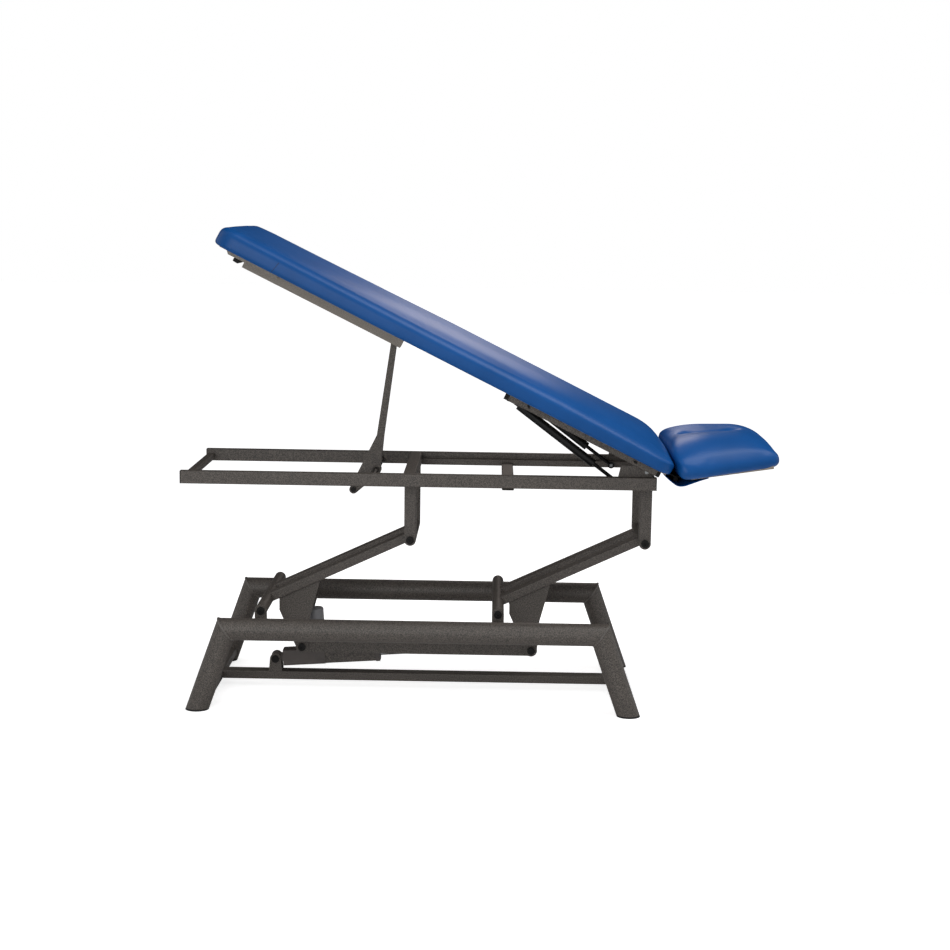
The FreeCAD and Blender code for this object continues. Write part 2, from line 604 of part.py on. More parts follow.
def tie_bars():
    """Two flat bars that keep both levers parallel, with their bolts."""
    foot_x = f"({FOOT_PIVOT} + Sizes.lever_x)"
    bar = new_body("near_tie_bar")
    low = "-Sizes.tie_plate / 2"
    block(bar, ("0", low, "-Sizes.tie_high / 2"),
          ("Sizes.pivot_pitch", "Sizes.tie_plate", "Sizes.tie_high"))
    for x in ("0", "Sizes.pivot_pitch"):
        drum(bar, x, low, "0", "Sizes.tie_high / 2", "Sizes.tie_plate")
    for x in ("0", "Sizes.pivot_pitch"):
        bore(bar, x, low, "0", BORE_R, "Sizes.tie_plate")
    lay(bar, foot_x, f"-{TIE_FACE} + Sizes.tie_plate / 2", LEVER_Z)
    keep("tie_bars", *both_sides(bar))

    face = "-(Sizes.gusset_face + Sizes.gusset_plate)"
    stack = "(Sizes.gusset_plate + Sizes.hub_gap + Sizes.tie_plate)"
    bolt = cap_screw("lever_bolt", foot_x, face, LEVER_Z, f"{stack} + Sizes.head_high")
    nut = new_body("lever_nut")
    nut_y = f"({stack} + Sizes.hub_gap)"
    drum(nut, "0", nut_y, "0", "0.46 * Sizes.head_dia", f"Sizes.head_high - Sizes.hub_gap")
    bore(nut, "0", nut_y, "0", PIN_R, "Sizes.head_high")
    lay(nut, foot_x, face, LEVER_Z)
    keep("foot_lever_bolts", *both_sides(bolt), *both_sides(nut))

    head_x = f"({HEAD_PIVOT} + Sizes.lever_x)"
    half = "(Sizes.gusset_face + Sizes.gusset_plate)"
    pin = new_body("head_lever_pin")
    drum(pin, "0", f"-{half}", "0", PIN_R, f"2 * {half}")
    drum(pin, "0", f"-{half} - Sizes.head_high", "0", "Sizes.head_dia / 2", "Sizes.head_high")
    drum(pin, "0", half, "0", "Sizes.head_dia / 2", "Sizes.head_high")
    lay(pin, head_x, "0", LEVER_Z)
    spacer = new_body("lever_spacer")
    start = "(Sizes.ram_eye / 2 + Sizes.hub_gap)"
    long = f"({TIE_FACE} - Sizes.tie_plate - Sizes.hub_gap - {start})"
    drum(spacer, "0", f"-{start} - {long}", "0", "0.42 * Sizes.head_dia", long)
    bore(spacer, "0", f"-{start} - {long}", "0", PIN_R, long)
    keep("head_lever_pin", pin, *both_sides(lay(spacer, head_x, "0", LEVER_Z)))


def lift_actuator():
    """Electric linear actuator: gear housing with upright motor, outer tube and lift rod."""
    placed = {"x": MOUNT, "z": "Sizes.mount_high", "axis": RAISE, "angle": LIFT_ANGLE}
    housing = new_body("actuator_gear_housing")
    gear = block(housing, ("Sizes.gear_from", "-Sizes.gear_wide / 2", "-Sizes.gear_below"),
                 ("Sizes.gear_to - Sizes.gear_from", "Sizes.gear_wide",
                  "Sizes.gear_below + Sizes.gear_above"))
    round_edges(housing, gear, "2 * Sizes.edge_round", runs_along(0))
    neck = "(Sizes.fork_inner - 2 * Sizes.hub_gap)"
    block(housing, ("0", f"-{neck} / 2", "-0.7 * Sizes.eye_boss"),
          ("Sizes.gear_from + 2", neck, "1.4 * Sizes.eye_boss"))
    drum(housing, "0", f"-{neck} / 2", "0", "Sizes.eye_boss", neck)
    bore(housing, "0", f"-{neck} / 2", "0", BORE_R, neck)
    inner = "(Sizes.case_size - 2 * Sizes.case_wall)"
    void(housing, ("Sizes.gear_to - 45", f"-{inner} / 2", f"-{inner} / 2"), ("45", inner, inner))
    keep("actuator_gear_housing", lay(housing, **placed))

    motor = new_body("lift_motor")
    can = drum(motor, "Sizes.motor_x", "0", "Sizes.gear_above", "Sizes.motor_dia / 2",
               "Sizes.motor_high", ALONG_Z)
    top = value("Sizes.gear_above + Sizes.motor_high")
    round_edges(motor, can, "2 * Sizes.edge_round",
                lambda edge: edge.BoundBox.ZMin > top - 1)
    keep("lift_motor", lay(motor, **placed))

    case = new_body("actuator_outer_tube")
    flat_tube(case, ("Sizes.gear_to", "-Sizes.case_size / 2", "-Sizes.case_size / 2"),
              ("Sizes.case_to - Sizes.gear_to", "Sizes.case_size", "Sizes.case_size"), 0,
              "Sizes.case_wall")
    keep("actuator_outer_tube", lay(case, **placed))
    collar = new_body("actuator_mouth_collar")
    ring = block(collar, ("Sizes.case_to", "-Sizes.collar_size / 2", "-Sizes.collar_size / 2"),
                 ("Sizes.collar_long", "Sizes.collar_size", "Sizes.collar_size"))
    round_edges(collar, ring, "2 * Sizes.edge_round", runs_along(0))
    void(collar, ("Sizes.case_to", f"-{inner} / 2", f"-{inner} / 2"),
         ("Sizes.collar_long", inner, inner))
    keep("actuator_mouth_collar", lay(collar, **placed))

    ram = new_body("lift_rod")
    drum(ram, "-Sizes.ram_long", "0", "0", "Sizes.ram_dia / 2", "Sizes.ram_long", ALONG_X)
    drum(ram, "0", "-Sizes.ram_eye / 2", "0", "Sizes.eye_boss", "Sizes.ram_eye")
    bore(ram, "0", "-Sizes.ram_eye / 2", "0", BORE_R, "Sizes.ram_eye")
    keep("lift_rod", lay(ram, f"{MOUNT} + {LIFT_DX}", "0", LEVER_Z, RAISE, LIFT_ANGLE))


def upper_frame():
    """Welded frame of flat tubes that carries the top, on four drop legs."""
    rail = new_body("near_side_rail")
    flat_tube(rail, (FRAME_FOOT, "-Sizes.frame_half", RAIL_Z),
              (f"{FRAME_HEAD} - {FRAME_FOOT}", "Sizes.rail_wide", "Sizes.rail_high"), 0)
    keep("side_rails", *both_sides(rail))

    plugs = []
    for start, inward in ((f"({FRAME_FOOT} - Sizes.plug_plate)", FRAME_FOOT),
                          (FRAME_HEAD, f"({FRAME_HEAD} - Sizes.cap_plug)")):
        plug = new_body("rail_end_plug")
        plate = block(plug, (start, "-Sizes.frame_half", RAIL_Z),
                      ("Sizes.plug_plate", "Sizes.rail_wide", "Sizes.rail_high"))
        round_edges(plug, plate, "Sizes.edge_round", runs_along(0))
        block(plug, (inward, "-Sizes.frame_half + Sizes.flat_wall", f"{RAIL_Z} + Sizes.flat_wall"),
              ("Sizes.cap_plug", "Sizes.rail_wide - 2 * Sizes.flat_wall",
               "Sizes.rail_high - 2 * Sizes.flat_wall"))
        plugs += both_sides(plug)
    keep("rail_end_plugs", *plugs)

    def crossbar(label, x, z, wide, high, half=RAIL_IN):
        bar = new_body(label)
        return flat_tube(bar, (x, f"-{half}", z), (wide, f"2 * {half}", high), 1)

    mid_x = f"({FOOT_PIVOT} + {ARM_RUN} - Sizes.cross_wide / 2)"
    keep("foot_crossbar", crossbar(
        "foot_crossbar", f"({FRAME_FOOT} + Sizes.foot_bar_in)",
        "Sizes.frame_top - Sizes.foot_bar_drop - Sizes.foot_bar_high",
        "Sizes.foot_bar_wide", "Sizes.foot_bar_high"))
    keep("main_crossbars", *(
        crossbar("main_crossbar", x, RAIL_Z, "Sizes.cross_wide", "Sizes.rail_high")
        for x in (mid_x, f"({FRAME_HEAD} - Sizes.cross_wide)")))
    keep("low_crossbar", crossbar(
        "low_crossbar", f"({X0} + Sizes.tray_x)",
        "Sizes.frame_top - Sizes.tray_drop - Sizes.low_high + Sizes.edge_round",
        "Sizes.cross_wide", "Sizes.low_high - Sizes.edge_round",
        f"({RAIL_IN} - Sizes.stiff_wide)"))
    bar = new_body("near_stiffener")
    start = f"({mid_x} + Sizes.cross_wide)"
    flat_tube(bar, (start, f"-{RAIL_IN}", RAIL_Z),
              (f"{FRAME_HEAD} - Sizes.cross_wide - {start}", "Sizes.stiff_wide",
               "Sizes.stiff_high"), 0)
    keep("rail_stiffeners", *both_sides(bar))


def drop_legs():
    """Square legs under the frame; their rounded ends take the upper pivot bolts."""
    outer = "(Sizes.leg_inner + Sizes.cross_wide)"
    legs = []
    bolts = []
    for name, pivot in (("foot", FOOT_PIVOT), ("head", HEAD_PIVOT)):
        x = f"({pivot} + {ARM_RUN})"
        long = f"({RAIL_Z} - {UPPER_Z})"
        leg = new_body(f"{name}_drop_leg")
        solid = block(leg, (f"-{HUB_R}", f"-{outer}", "0"),
                      ("Sizes.cross_wide", "Sizes.cross_wide", long))
        round_edges(leg, solid, "Sizes.edge_round", runs_along(2))
        drum(leg, "0", f"-{outer}", "0", HUB_R, "Sizes.cross_wide")
        wall = "Sizes.flat_wall"
        void(leg, (f"-{HUB_R} + {wall}", f"-{outer} + {wall}", HUB_R),
             (f"Sizes.cross_wide - 2 * {wall}", f"Sizes.cross_wide - 2 * {wall}",
              f"{long} - {HUB_R}"))
        bore(leg, "0", f"-{outer}", "0", PIN_R, "Sizes.cross_wide")
        lay(leg, x, "0", UPPER_Z)
        legs += both_sides(leg)
        bolt = cap_screw(f"{name}_leg_bolt", x, f"-{outer}", UPPER_Z,
                         "Sizes.cross_wide + Sizes.bush_long")
        bolts += both_sides(bolt)
    keep("drop_legs", *legs)
    keep("leg_pivot_bolts", *bolts)


def section_hinges():
    """Hinge brackets on the side rails and their pins, and the prop shaft."""
    shaft = new_body("prop_shaft")
    drum(shaft, "0", f"-{RAIL_IN}", "0", "Sizes.shaft_dia / 2", f"2 * {RAIL_IN}")
    keep("prop_shaft", lay(shaft, f"({X0} + Sizes.shaft_x)", "0", "Sizes.shaft_high"))

    foot = "(Sizes.frame_top - Sizes.hinge_high)"
    body = new_body("hinge_bracket")
    outline(body, [
        ("-88", foot),
        ("20", foot),
        ("Sizes.hinge_pin", "Sizes.hinge_pin"),
        ("-36", "19"),
        ("-80", "19"),
    ], "Sizes.hinge_plate")
    bore(body, "0", "-Sizes.hinge_plate / 2", "0", "Sizes.hinge_pin / 2", "Sizes.hinge_plate")
    middle = "(Sizes.bar_inner - Sizes.hinge_gap - 1.5 * Sizes.hinge_plate)"
    lay(body, HINGE, f"-{middle}", "Sizes.hinge_high")
    keep("hinge_brackets", *both_sides(body))

    pin = new_body("hinge_pin")
    drum(pin, "0", f"-{middle} - Sizes.hinge_plate / 2 - Sizes.hinge_plate - Sizes.hinge_gap",
         "0", "Sizes.hinge_pin / 2", "2 * Sizes.hinge_plate + Sizes.hinge_gap")
    drum(pin, "0", f"-{middle} + Sizes.hinge_plate / 2", "0", "0.8 * Sizes.hinge_pin",
         "Sizes.hinge_plate / 2")
    keep("section_hinge_pins", *both_sides(lay(pin, HINGE, "0", "Sizes.hinge_high")))

    stud = new_body("spring_lower_stud")
    inner = f"({RAIL_IN} - Sizes.stiff_wide)"
    reach = f"({inner} - Sizes.spring_y + Sizes.stud_dia)"
    drum(stud, "0", f"-{inner}", "0", "Sizes.stud_dia / 2", reach)
    drum(stud, "0", f"-{inner}", "0", "Sizes.stud_dia", "Sizes.stud_dia")
    keep("spring_lower_studs", *both_sides(lay(stud, f"({X0} + Sizes.spring_low_x)", "0",
                                               "Sizes.spring_low_z")))


ON_SECTION = {"x": HINGE, "z": "Sizes.hinge_high", "axis": LOWER, "angle": "Sizes.section_tilt"}


def long_section():
    """Board, upholstery, side bars with end caps, hinge ears, prop guide and spring mounts."""
    pad_long = "(Sizes.pad_foot + Sizes.pad_head)"
    board_long = f"({pad_long} - 2 * Sizes.board_inset)"
    board_half = "(Sizes.pad_half - Sizes.board_inset)"
    board_low = ("-Sizes.pad_foot + Sizes.board_inset", f"-{board_half}", "Sizes.board_under")
    board_size = (board_long, f"2 * {board_half}", "Sizes.board_thick")

    pad = new_body("long_pad")
    solid = block(pad, ("-Sizes.pad_foot", "-Sizes.pad_half", "Sizes.board_under"),
                  (pad_long, "2 * Sizes.pad_half", "Sizes.pad_thick"))
    rounded = round_edges(pad, solid, "Sizes.pad_corner", runs_along(2))
    top = value("Sizes.board_under + Sizes.pad_thick")
    round_edges(pad, rounded, "Sizes.pad_edge", lambda edge: edge.BoundBox.ZMin > top - 1)
    void(pad, board_low, board_size)
    keep("long_pad", lay(pad, **ON_SECTION))

    board = new_body("long_board")
    block(board, board_low, board_size)
    keep("long_board", lay(board, **ON_SECTION))

    bar_low = "(Sizes.board_under - Sizes.bar_high)"
    bar_long = "(Sizes.bar_foot + Sizes.bar_head)"
    outer = "(Sizes.bar_inner + Sizes.bar_wide)"
    bar = new_body("section_side_bar")
    flat_tube(bar, ("-Sizes.bar_foot", f"-{outer}", bar_low),
              (bar_long, "Sizes.bar_wide", "Sizes.bar_high"), 0)
    for x in ("(Sizes.bar_screw - Sizes.bar_foot)", "(Sizes.bar_head - Sizes.bar_screw_b)"):
        bore(bar, x, f"-{outer}", f"{bar_low} + Sizes.bar_high / 2", "Sizes.screw_hole / 2",
             "2 * Sizes.flat_wall")
    keep("section_side_bars", *both_sides(lay(bar, **ON_SECTION)))

    caps = []
    for start, inward in (("(-Sizes.bar_foot - Sizes.cap_long)", "-Sizes.bar_foot"),
                          ("Sizes.bar_head", "(Sizes.bar_head - Sizes.cap_plug)")):
        cap = new_body("bar_end_cap")
        plate = block(cap, (start, f"-{outer}", bar_low),
                      ("Sizes.cap_long", "Sizes.bar_wide", "Sizes.bar_high"))
        round_edges(cap, plate, "Sizes.edge_round", runs_along(0))
        block(cap, (inward, f"-{outer} + Sizes.flat_wall", f"{bar_low} + Sizes.flat_wall"),
              ("Sizes.cap_plug", "Sizes.bar_wide - 2 * Sizes.flat_wall",
               "Sizes.bar_high - 2 * Sizes.flat_wall"))
        caps += both_sides(lay(cap, **ON_SECTION))
    keep("bar_end_caps", *caps)

    ear = new_body("hinge_ear")
    outline(ear, [
        ("-24", "Sizes.board_under"),
        ("-24", bar_low),
        ("-Sizes.hinge_pin", "0"),
        ("Sizes.hinge_pin", "0"),
        ("24", bar_low),
        ("24", "Sizes.board_under"),
    ], "Sizes.hinge_plate")
    drum(ear, "0", "-Sizes.hinge_plate / 2", "0", "Sizes.hinge_pin", "Sizes.hinge_plate")
    bore(ear, "0", "-Sizes.hinge_plate / 2", "0", "Sizes.hinge_pin / 2 + Sizes.fit_gap",
         "Sizes.hinge_plate")
    lay(ear, HINGE, "-Sizes.bar_inner + Sizes.hinge_plate / 2", "Sizes.hinge_high", LOWER,
        "Sizes.section_tilt")
    keep("section_hinge_ears", *both_sides(ear))

    guide = new_body("prop_guide_wall")
    foot_x = "-Sizes.guide_foot"
    long = "(Sizes.guide_foot - Sizes.guide_head)"
    block(guide, (foot_x, "-Sizes.guide_half - Sizes.guide_wall",
                  "Sizes.board_under - Sizes.guide_deep"),
          (long, "Sizes.guide_wall", "Sizes.guide_deep"))
    block(guide, (foot_x, "-Sizes.guide_half - Sizes.guide_wall - Sizes.guide_flange",
                  "Sizes.board_under - Sizes.guide_wall"),
          (long, "Sizes.guide_flange + Sizes.guide_wall", "Sizes.guide_wall"))
    lay(guide, **ON_SECTION)
    stop = new_body("prop_guide_stop")
    wide = "2 * (Sizes.guide_half + Sizes.guide_wall)"
    block(stop, ("-Sizes.guide_head", "-Sizes.guide_half - Sizes.guide_wall",
                 "Sizes.board_under - Sizes.guide_stop"),
          ("Sizes.guide_wall", wide, "Sizes.guide_stop"))
    keep("prop_guide", *both_sides(guide), lay(stop, **ON_SECTION))

    mount = new_body("spring_upper_mount")
    stud_r = "Sizes.stud_dia / 2"
    plate_y = "(Sizes.spring_y + 18)"
    block(mount, (f"-Sizes.spring_top_x - 2 * Sizes.stud_dia", f"-{plate_y}",
                  "Sizes.spring_top_z - Sizes.stud_dia"),
          ("4 * Sizes.stud_dia", "Sizes.guide_wall",
           "Sizes.board_under - Sizes.spring_top_z + Sizes.stud_dia"))
    block(mount, (f"-Sizes.spring_top_x - 2 * Sizes.stud_dia", f"-{plate_y}",
                  "Sizes.board_under - Sizes.guide_wall"),
          ("4 * Sizes.stud_dia", "4 * Sizes.stud_dia", "Sizes.guide_wall"))
    drum(mount, "-Sizes.spring_top_x", f"-{plate_y}", "Sizes.spring_top_z", stud_r,
         "18 + Sizes.stud_dia")
    keep("spring_upper_mounts", *both_sides(lay(mount, **ON_SECTION)))


def prop_strut():
    """Bell-crank prop: two plates on a hub, a roller at the tip and a crank pin below."""
    placed = {"x": f"({X0} + Sizes.shaft_x)", "z": "Sizes.shaft_high", "axis": LOWER,
              "angle": f"atan({PROP_DX} / {PROP_DZ})"}
    thick = "Sizes.prop_plate"
    low = f"-{thick} / 2"
    plate = new_body("prop_plate_blank")
    outline(plate, [
        ("-Sizes.prop_tip", PROP_LONG),
        ("-1.35 * Sizes.prop_tip", f"0.27 * {PROP_LONG}"),
        ("-Sizes.crank_back - 0.85 * Sizes.crank_boss", "-Sizes.crank_drop + 0.5 * Sizes.crank_boss"),
        ("-Sizes.crank_back + 0.7 * Sizes.crank_boss", "-Sizes.crank_drop - 0.7 * Sizes.crank_boss"),
        ("0.9 * Sizes.prop_boss", "-0.45 * Sizes.prop_boss"),
        ("1.1 * Sizes.prop_tip", f"0.27 * {PROP_LONG}"),
        ("Sizes.prop_tip", PROP_LONG),
    ], thick)
    drum(plate, "0", low, PROP_LONG, "Sizes.prop_tip", thick)
    drum(plate, "0", low, "0", "Sizes.prop_boss", thick)
    drum(plate, "-Sizes.crank_back", low, "-Sizes.crank_drop", "Sizes.crank_boss", thick)
    bore(plate, "0", low, PROP_LONG, "Sizes.stud_dia / 2", thick)
    bore(plate, "0", low, "0", "Sizes.shaft_dia / 2 + Sizes.fit_gap", thick)
    bore(plate, "-Sizes.crank_back", low, "-Sizes.crank_drop", "Sizes.stud_dia / 2", thick)
    lay(plate, y=f"-Sizes.prop_inner - {thick} / 2", **placed)
    keep("prop_plates", *both_sides(plate))

    hub = new_body("prop_hub")
    drum(hub, "0", "-Sizes.prop_inner", "0", "Sizes.prop_hub / 2", "2 * Sizes.prop_inner")
    bore(hub, "0", "-Sizes.prop_inner", "0", "Sizes.shaft_dia / 2 + Sizes.fit_gap",
         "2 * Sizes.prop_inner")
    keep("prop_hub", lay(hub, **placed))

    roller = new_body("prop_roller")
    reach = "(Sizes.prop_inner + Sizes.prop_plate)"
    drum(roller, "0", "-Sizes.prop_inner", PROP_LONG, "Sizes.roller_dia / 2",
         "2 * Sizes.prop_inner")
    bore(roller, "0", "-Sizes.prop_inner", PROP_LONG, "Sizes.stud_dia / 2",
         "2 * Sizes.prop_inner")
    keep("prop_roller", lay(roller, **placed))
    pin = new_body("prop_roller_pin")
    drum(pin, "0", f"-{reach}", PROP_LONG, "Sizes.stud_dia / 2", f"2 * {reach}")
    side = f"(Sizes.roller_half - {reach})"
    drum(pin, "0", "-Sizes.roller_half", PROP_LONG, "Sizes.roller_dia / 2", side)
    drum(pin, "0", reach, PROP_LONG, "Sizes.roller_dia / 2", side)
    keep("prop_roller_pin", lay(pin, **placed))
    crank = new_body("crank_pin")
    drum(crank, "-Sizes.crank_back", f"-{reach}", "-Sizes.crank_drop", "Sizes.stud_dia / 2",
         f"2 * {reach}")
    for y in (f"-{reach} - Sizes.stud_dia", reach):
        drum(crank, "-Sizes.crank_back", y, "-Sizes.crank_drop", "Sizes.stud_dia",
             "Sizes.stud_dia")
    keep("crank_pin", lay(crank, **placed))


def gas_springs():
    """A gas spring on each side: cylinder with a ball socket, and a rod with a bushed eye."""
    placed = {"x": f"({X0} + {SPRING_X})", "z": SPRING_Z, "axis": LOWER,
              "angle": f"atan({SPRING_DZ} / {SPRING_DX})"}
    mid = "-Sizes.spring_y"
    end = "(Sizes.case_from + Sizes.case_long)"
    gap = "Sizes.fit_gap"
    case = new_body("gas_cylinder")
    drum(case, "Sizes.case_from", mid, "0", "Sizes.case_dia / 2", "Sizes.case_long", ALONG_X)
    room = f"({end} - Sizes.case_from - 12)"
    bore(case, f"{end} - {room} - 8", mid, "0", "Sizes.gas_bore / 2", room, ALONG_X)
    bore(case, f"{end} - 10", mid, "0", f"Sizes.gas_rod / 2 + {gap}", "10", ALONG_X)
    keep("gas_cylinders", *both_sides(lay(case, **placed)))
    socket = new_body("gas_socket")
    drum(socket, "0", f"{mid} - Sizes.stud_dia", "0", "1.25 * Sizes.stud_dia",
         "2 * Sizes.stud_dia")
    drum(socket, "0", mid, "0", "0.75 * Sizes.stud_dia", "Sizes.case_from", ALONG_X)
    bore(socket, "0", f"{mid} - Sizes.stud_dia", "0", f"Sizes.stud_dia / 2 + {gap}",
         "2 * Sizes.stud_dia")
    keep("gas_ball_sockets", *both_sides(lay(socket, **placed)))

    eye_from = f"({SPRING_LONG} - Sizes.gas_eye)"
    start = f"({end} - Sizes.gas_inside)"
    ram = new_body("gas_rod")
    drum(ram, start, mid, "0", "Sizes.gas_rod / 2", f"{eye_from} + 2 - {start}", ALONG_X)
    drum(ram, start, mid, "0", "Sizes.gas_bore / 2 - 0.3", "10", ALONG_X)
    drum(ram, SPRING_LONG, f"{mid} - Sizes.stud_dia / 2", "0", "Sizes.gas_eye",
         "Sizes.stud_dia")
    bore(ram, SPRING_LONG, f"{mid} - Sizes.stud_dia / 2", "0",
         "Sizes.stud_dia / 2 + Sizes.gas_play", "Sizes.stud_dia")
    keep("gas_rods", *both_sides(lay(ram, **placed)))


def headrest():
    """Tapered upholstered head section on a board, on two strap hinges."""
    placed = {"x": REST_X, "z": REST_Z, "axis": RAISE, "angle": "Sizes.head_slope"}
    far_x = "(Sizes.rest_from + Sizes.rest_long)"

    def tapered(label, inset, low, thick):
        body = new_body(label)
        near_x = f"Sizes.rest_from + {inset}"
        end_x = f"{far_x} - {inset}"
        points = [
            (near_x, f"-Sizes.rest_half + {inset}"),
            (end_x, f"-Sizes.rest_half_end + {inset}"),
            (end_x, f"Sizes.rest_half_end - {inset}"),
            (near_x, f"Sizes.rest_half - {inset}"),
        ]
        pad = outline(body, points, thick, "XY_Plane")
        return body, pad

    inset = "Sizes.board_inset"
    board, _ = tapered("headrest_board", inset, REST_UNDER, "Sizes.board_thick")
    board_z = f"({REST_UNDER} + Sizes.board_thick / 2)"
    board_x = f"({REST_X} - {board_z} * sin(Sizes.head_slope))"
    lay(board, board_x, "0", f"({REST_Z} + {board_z} * cos(Sizes.head_slope))", RAISE,
        "Sizes.head_slope")
    keep("headrest_board", board)

    pad_z = f"({REST_UNDER} + Sizes.rest_thick / 2)"
    pad, solid = tapered("headrest_pad_blank", "0", REST_UNDER, "Sizes.rest_thick")
    rounded = round_edges(pad, solid, "Sizes.pad_corner", runs_along(2))
    top = value("Sizes.rest_thick / 2")
    round_edges(pad, rounded, "1.5 * Sizes.pad_edge", lambda edge: edge.BoundBox.ZMin > top - 1)
    lay(pad, f"({REST_X} - {pad_z} * sin(Sizes.head_slope))", "0",
        f"({REST_Z} + {pad_z} * cos(Sizes.head_slope))", RAISE, "Sizes.head_slope")
    keep("headrest_pad", combine("Cut", "headrest_pad", pad, board))

    leaf_r = "Sizes.knuckle_dia / 2"
    pin_r = "Sizes.knuckle_pin / 2"
    third = "(Sizes.leaf_wide / 3)"
    low_y = "(-Sizes.leaf_y - Sizes.leaf_wide / 2)"

    main = new_body("headrest_hinge_leaf_a")
    block(main, ("-Sizes.leaf_long", low_y, f"{REST_UNDER} - Sizes.leaf_thick"),
          ("Sizes.leaf_long", "Sizes.leaf_wide", "Sizes.leaf_thick"))
    drum(main, "0", low_y, "0", leaf_r, "Sizes.leaf_wide")
    void(main, (f"-{leaf_r} - 1", f"{low_y} + {third}", f"-{leaf_r}"),
         (f"2 * {leaf_r} + 1", third, "2 * Sizes.knuckle_dia"))
    bore(main, "0", low_y, "0", pin_r, "Sizes.leaf_wide")
    lay(main, REST_X, "0", REST_Z, LOWER, "Sizes.section_tilt")
    keep("section_hinge_leaves", *both_sides(main))

    leaf = new_body("headrest_hinge_leaf_b")
    gap = "Sizes.hub_gap"
    block(leaf, ("0", low_y, f"{REST_UNDER} - Sizes.leaf_thick"),
          ("Sizes.leaf_long", "Sizes.leaf_wide", "Sizes.leaf_thick"))
    void(leaf, ("0", low_y, f"-{leaf_r}"), (f"{leaf_r} + 2", f"{third} + {gap}", "40"))
    void(leaf, ("0", f"{low_y} + 2 * {third} - {gap}", f"-{leaf_r}"),
         (f"{leaf_r} + 2", f"{third} + {gap}", "40"))
    drum(leaf, "0", f"{low_y} + {third} + {gap}", "0", leaf_r, f"{third} - 2 * {gap}")
    bore(leaf, "0", f"{low_y} + {third} + {gap}", "0", f"{pin_r} + Sizes.fit_gap",
         f"{third} - 2 * {gap}")
    keep("headrest_hinge_leaves", *both_sides(lay(leaf, **placed)))

    pin = new_body("headrest_hinge_pin")
    drum(pin, "0", low_y, "0", pin_r, "Sizes.leaf_wide")
    keep("headrest_hinge_pins", *both_sides(lay(pin, REST_X, "0", REST_Z, LOWER,
                                                "Sizes.section_tilt")))


side_tube, foot_leg_tube = base_side_frames()
base_low_frame(foot_leg_tube)
actuator_bracket()
base_lugs(side_tube)
lifting_arm("foot_arm", FOOT_PIVOT)
lifting_arm("head_arm", HEAD_PIVOT)
tie_bars()
lift_actuator()
upper_frame()
drop_legs()
section_hinges()
long_section()
prop_strut()
gas_springs()
headrest()
doc.recompute()

faults = [obj.Label for obj in doc.Objects if {"Invalid", "Error"} & set(obj.State)]
for label, piece in nodes.items():
    shape = piece.Shape
    if shape.isNull() or not shape.isValid() or not shape.Solids:
        faults.append(label)
if faults:
    raise RuntimeError(f"features that did not build: {faults}")

box = FreeCAD.BoundBox()
for label, piece in nodes.items():
    piece.Shape.exportStep(f"parts/{label}.step")
    box.add(piece.Shape.BoundBox)
print(len(nodes), "sub-parts", box)
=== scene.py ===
"""Treatment table: blue upholstered top on a powder-coated lifting base, for Blender 4.5.

Metres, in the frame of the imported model: +X towards the headrest, +Y to the far side and
+Z up, with the floor at zero. The pieces are in the order in which the table is put together.
"""
import json
import math

import bmesh
import bpy
from mathutils import Matrix, Vector, bvhtree, noise


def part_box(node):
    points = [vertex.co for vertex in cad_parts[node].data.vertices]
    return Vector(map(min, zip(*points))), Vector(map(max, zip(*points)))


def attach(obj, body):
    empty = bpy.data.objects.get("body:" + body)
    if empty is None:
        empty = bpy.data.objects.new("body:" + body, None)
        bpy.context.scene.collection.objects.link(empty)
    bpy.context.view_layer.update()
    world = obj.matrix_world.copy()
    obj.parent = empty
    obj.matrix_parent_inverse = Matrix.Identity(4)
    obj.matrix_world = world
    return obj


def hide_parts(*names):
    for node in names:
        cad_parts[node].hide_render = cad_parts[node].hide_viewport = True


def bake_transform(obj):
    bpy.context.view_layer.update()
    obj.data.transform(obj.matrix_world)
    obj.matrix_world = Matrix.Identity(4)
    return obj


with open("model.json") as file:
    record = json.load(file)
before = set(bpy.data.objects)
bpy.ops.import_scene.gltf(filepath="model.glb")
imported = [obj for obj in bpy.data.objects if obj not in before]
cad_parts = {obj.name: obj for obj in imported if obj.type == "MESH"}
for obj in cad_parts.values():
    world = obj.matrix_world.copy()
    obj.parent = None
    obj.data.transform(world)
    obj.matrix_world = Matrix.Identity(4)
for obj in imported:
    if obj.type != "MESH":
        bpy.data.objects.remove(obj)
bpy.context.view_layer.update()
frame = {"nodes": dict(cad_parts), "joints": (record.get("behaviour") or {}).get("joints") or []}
nodes = frame["nodes"]
scene = bpy.context.scene


# Camera: a long lens about 5.7 m in front of the table, a little above its top,
# looking slightly down on it.
EYE = Vector((0.0370, -5.7141, 1.5671))
YAW, PITCH, ROLL = -0.01041, 0.14841, 0.01427
ahead = Vector((math.sin(YAW) * math.cos(PITCH), math.cos(YAW) * math.cos(PITCH),
                -math.sin(PITCH)))
level = Vector((math.cos(YAW), -math.sin(YAW), 0.0))
upright = level.cross(ahead)
right = level * math.cos(ROLL) + upright * math.sin(ROLL)
up = upright * math.cos(ROLL) - level * math.sin(ROLL)
camera = bpy.data.objects.new("camera", bpy.data.cameras.new("camera"))
camera.data.sensor_width = 36.0
camera.data.lens = 67.1
camera.matrix_world = Matrix((
    (right.x, up.x, -ahead.x, EYE.x),
    (right.y, up.y, -ahead.y, EYE.y),
    (right.z, up.z, -ahead.z, EYE.z),
    (0.0, 0.0, 0.0, 1.0)))
scene.collection.objects.link(camera)
scene.camera = camera
scene.view_settings.view_transform = "Standard"


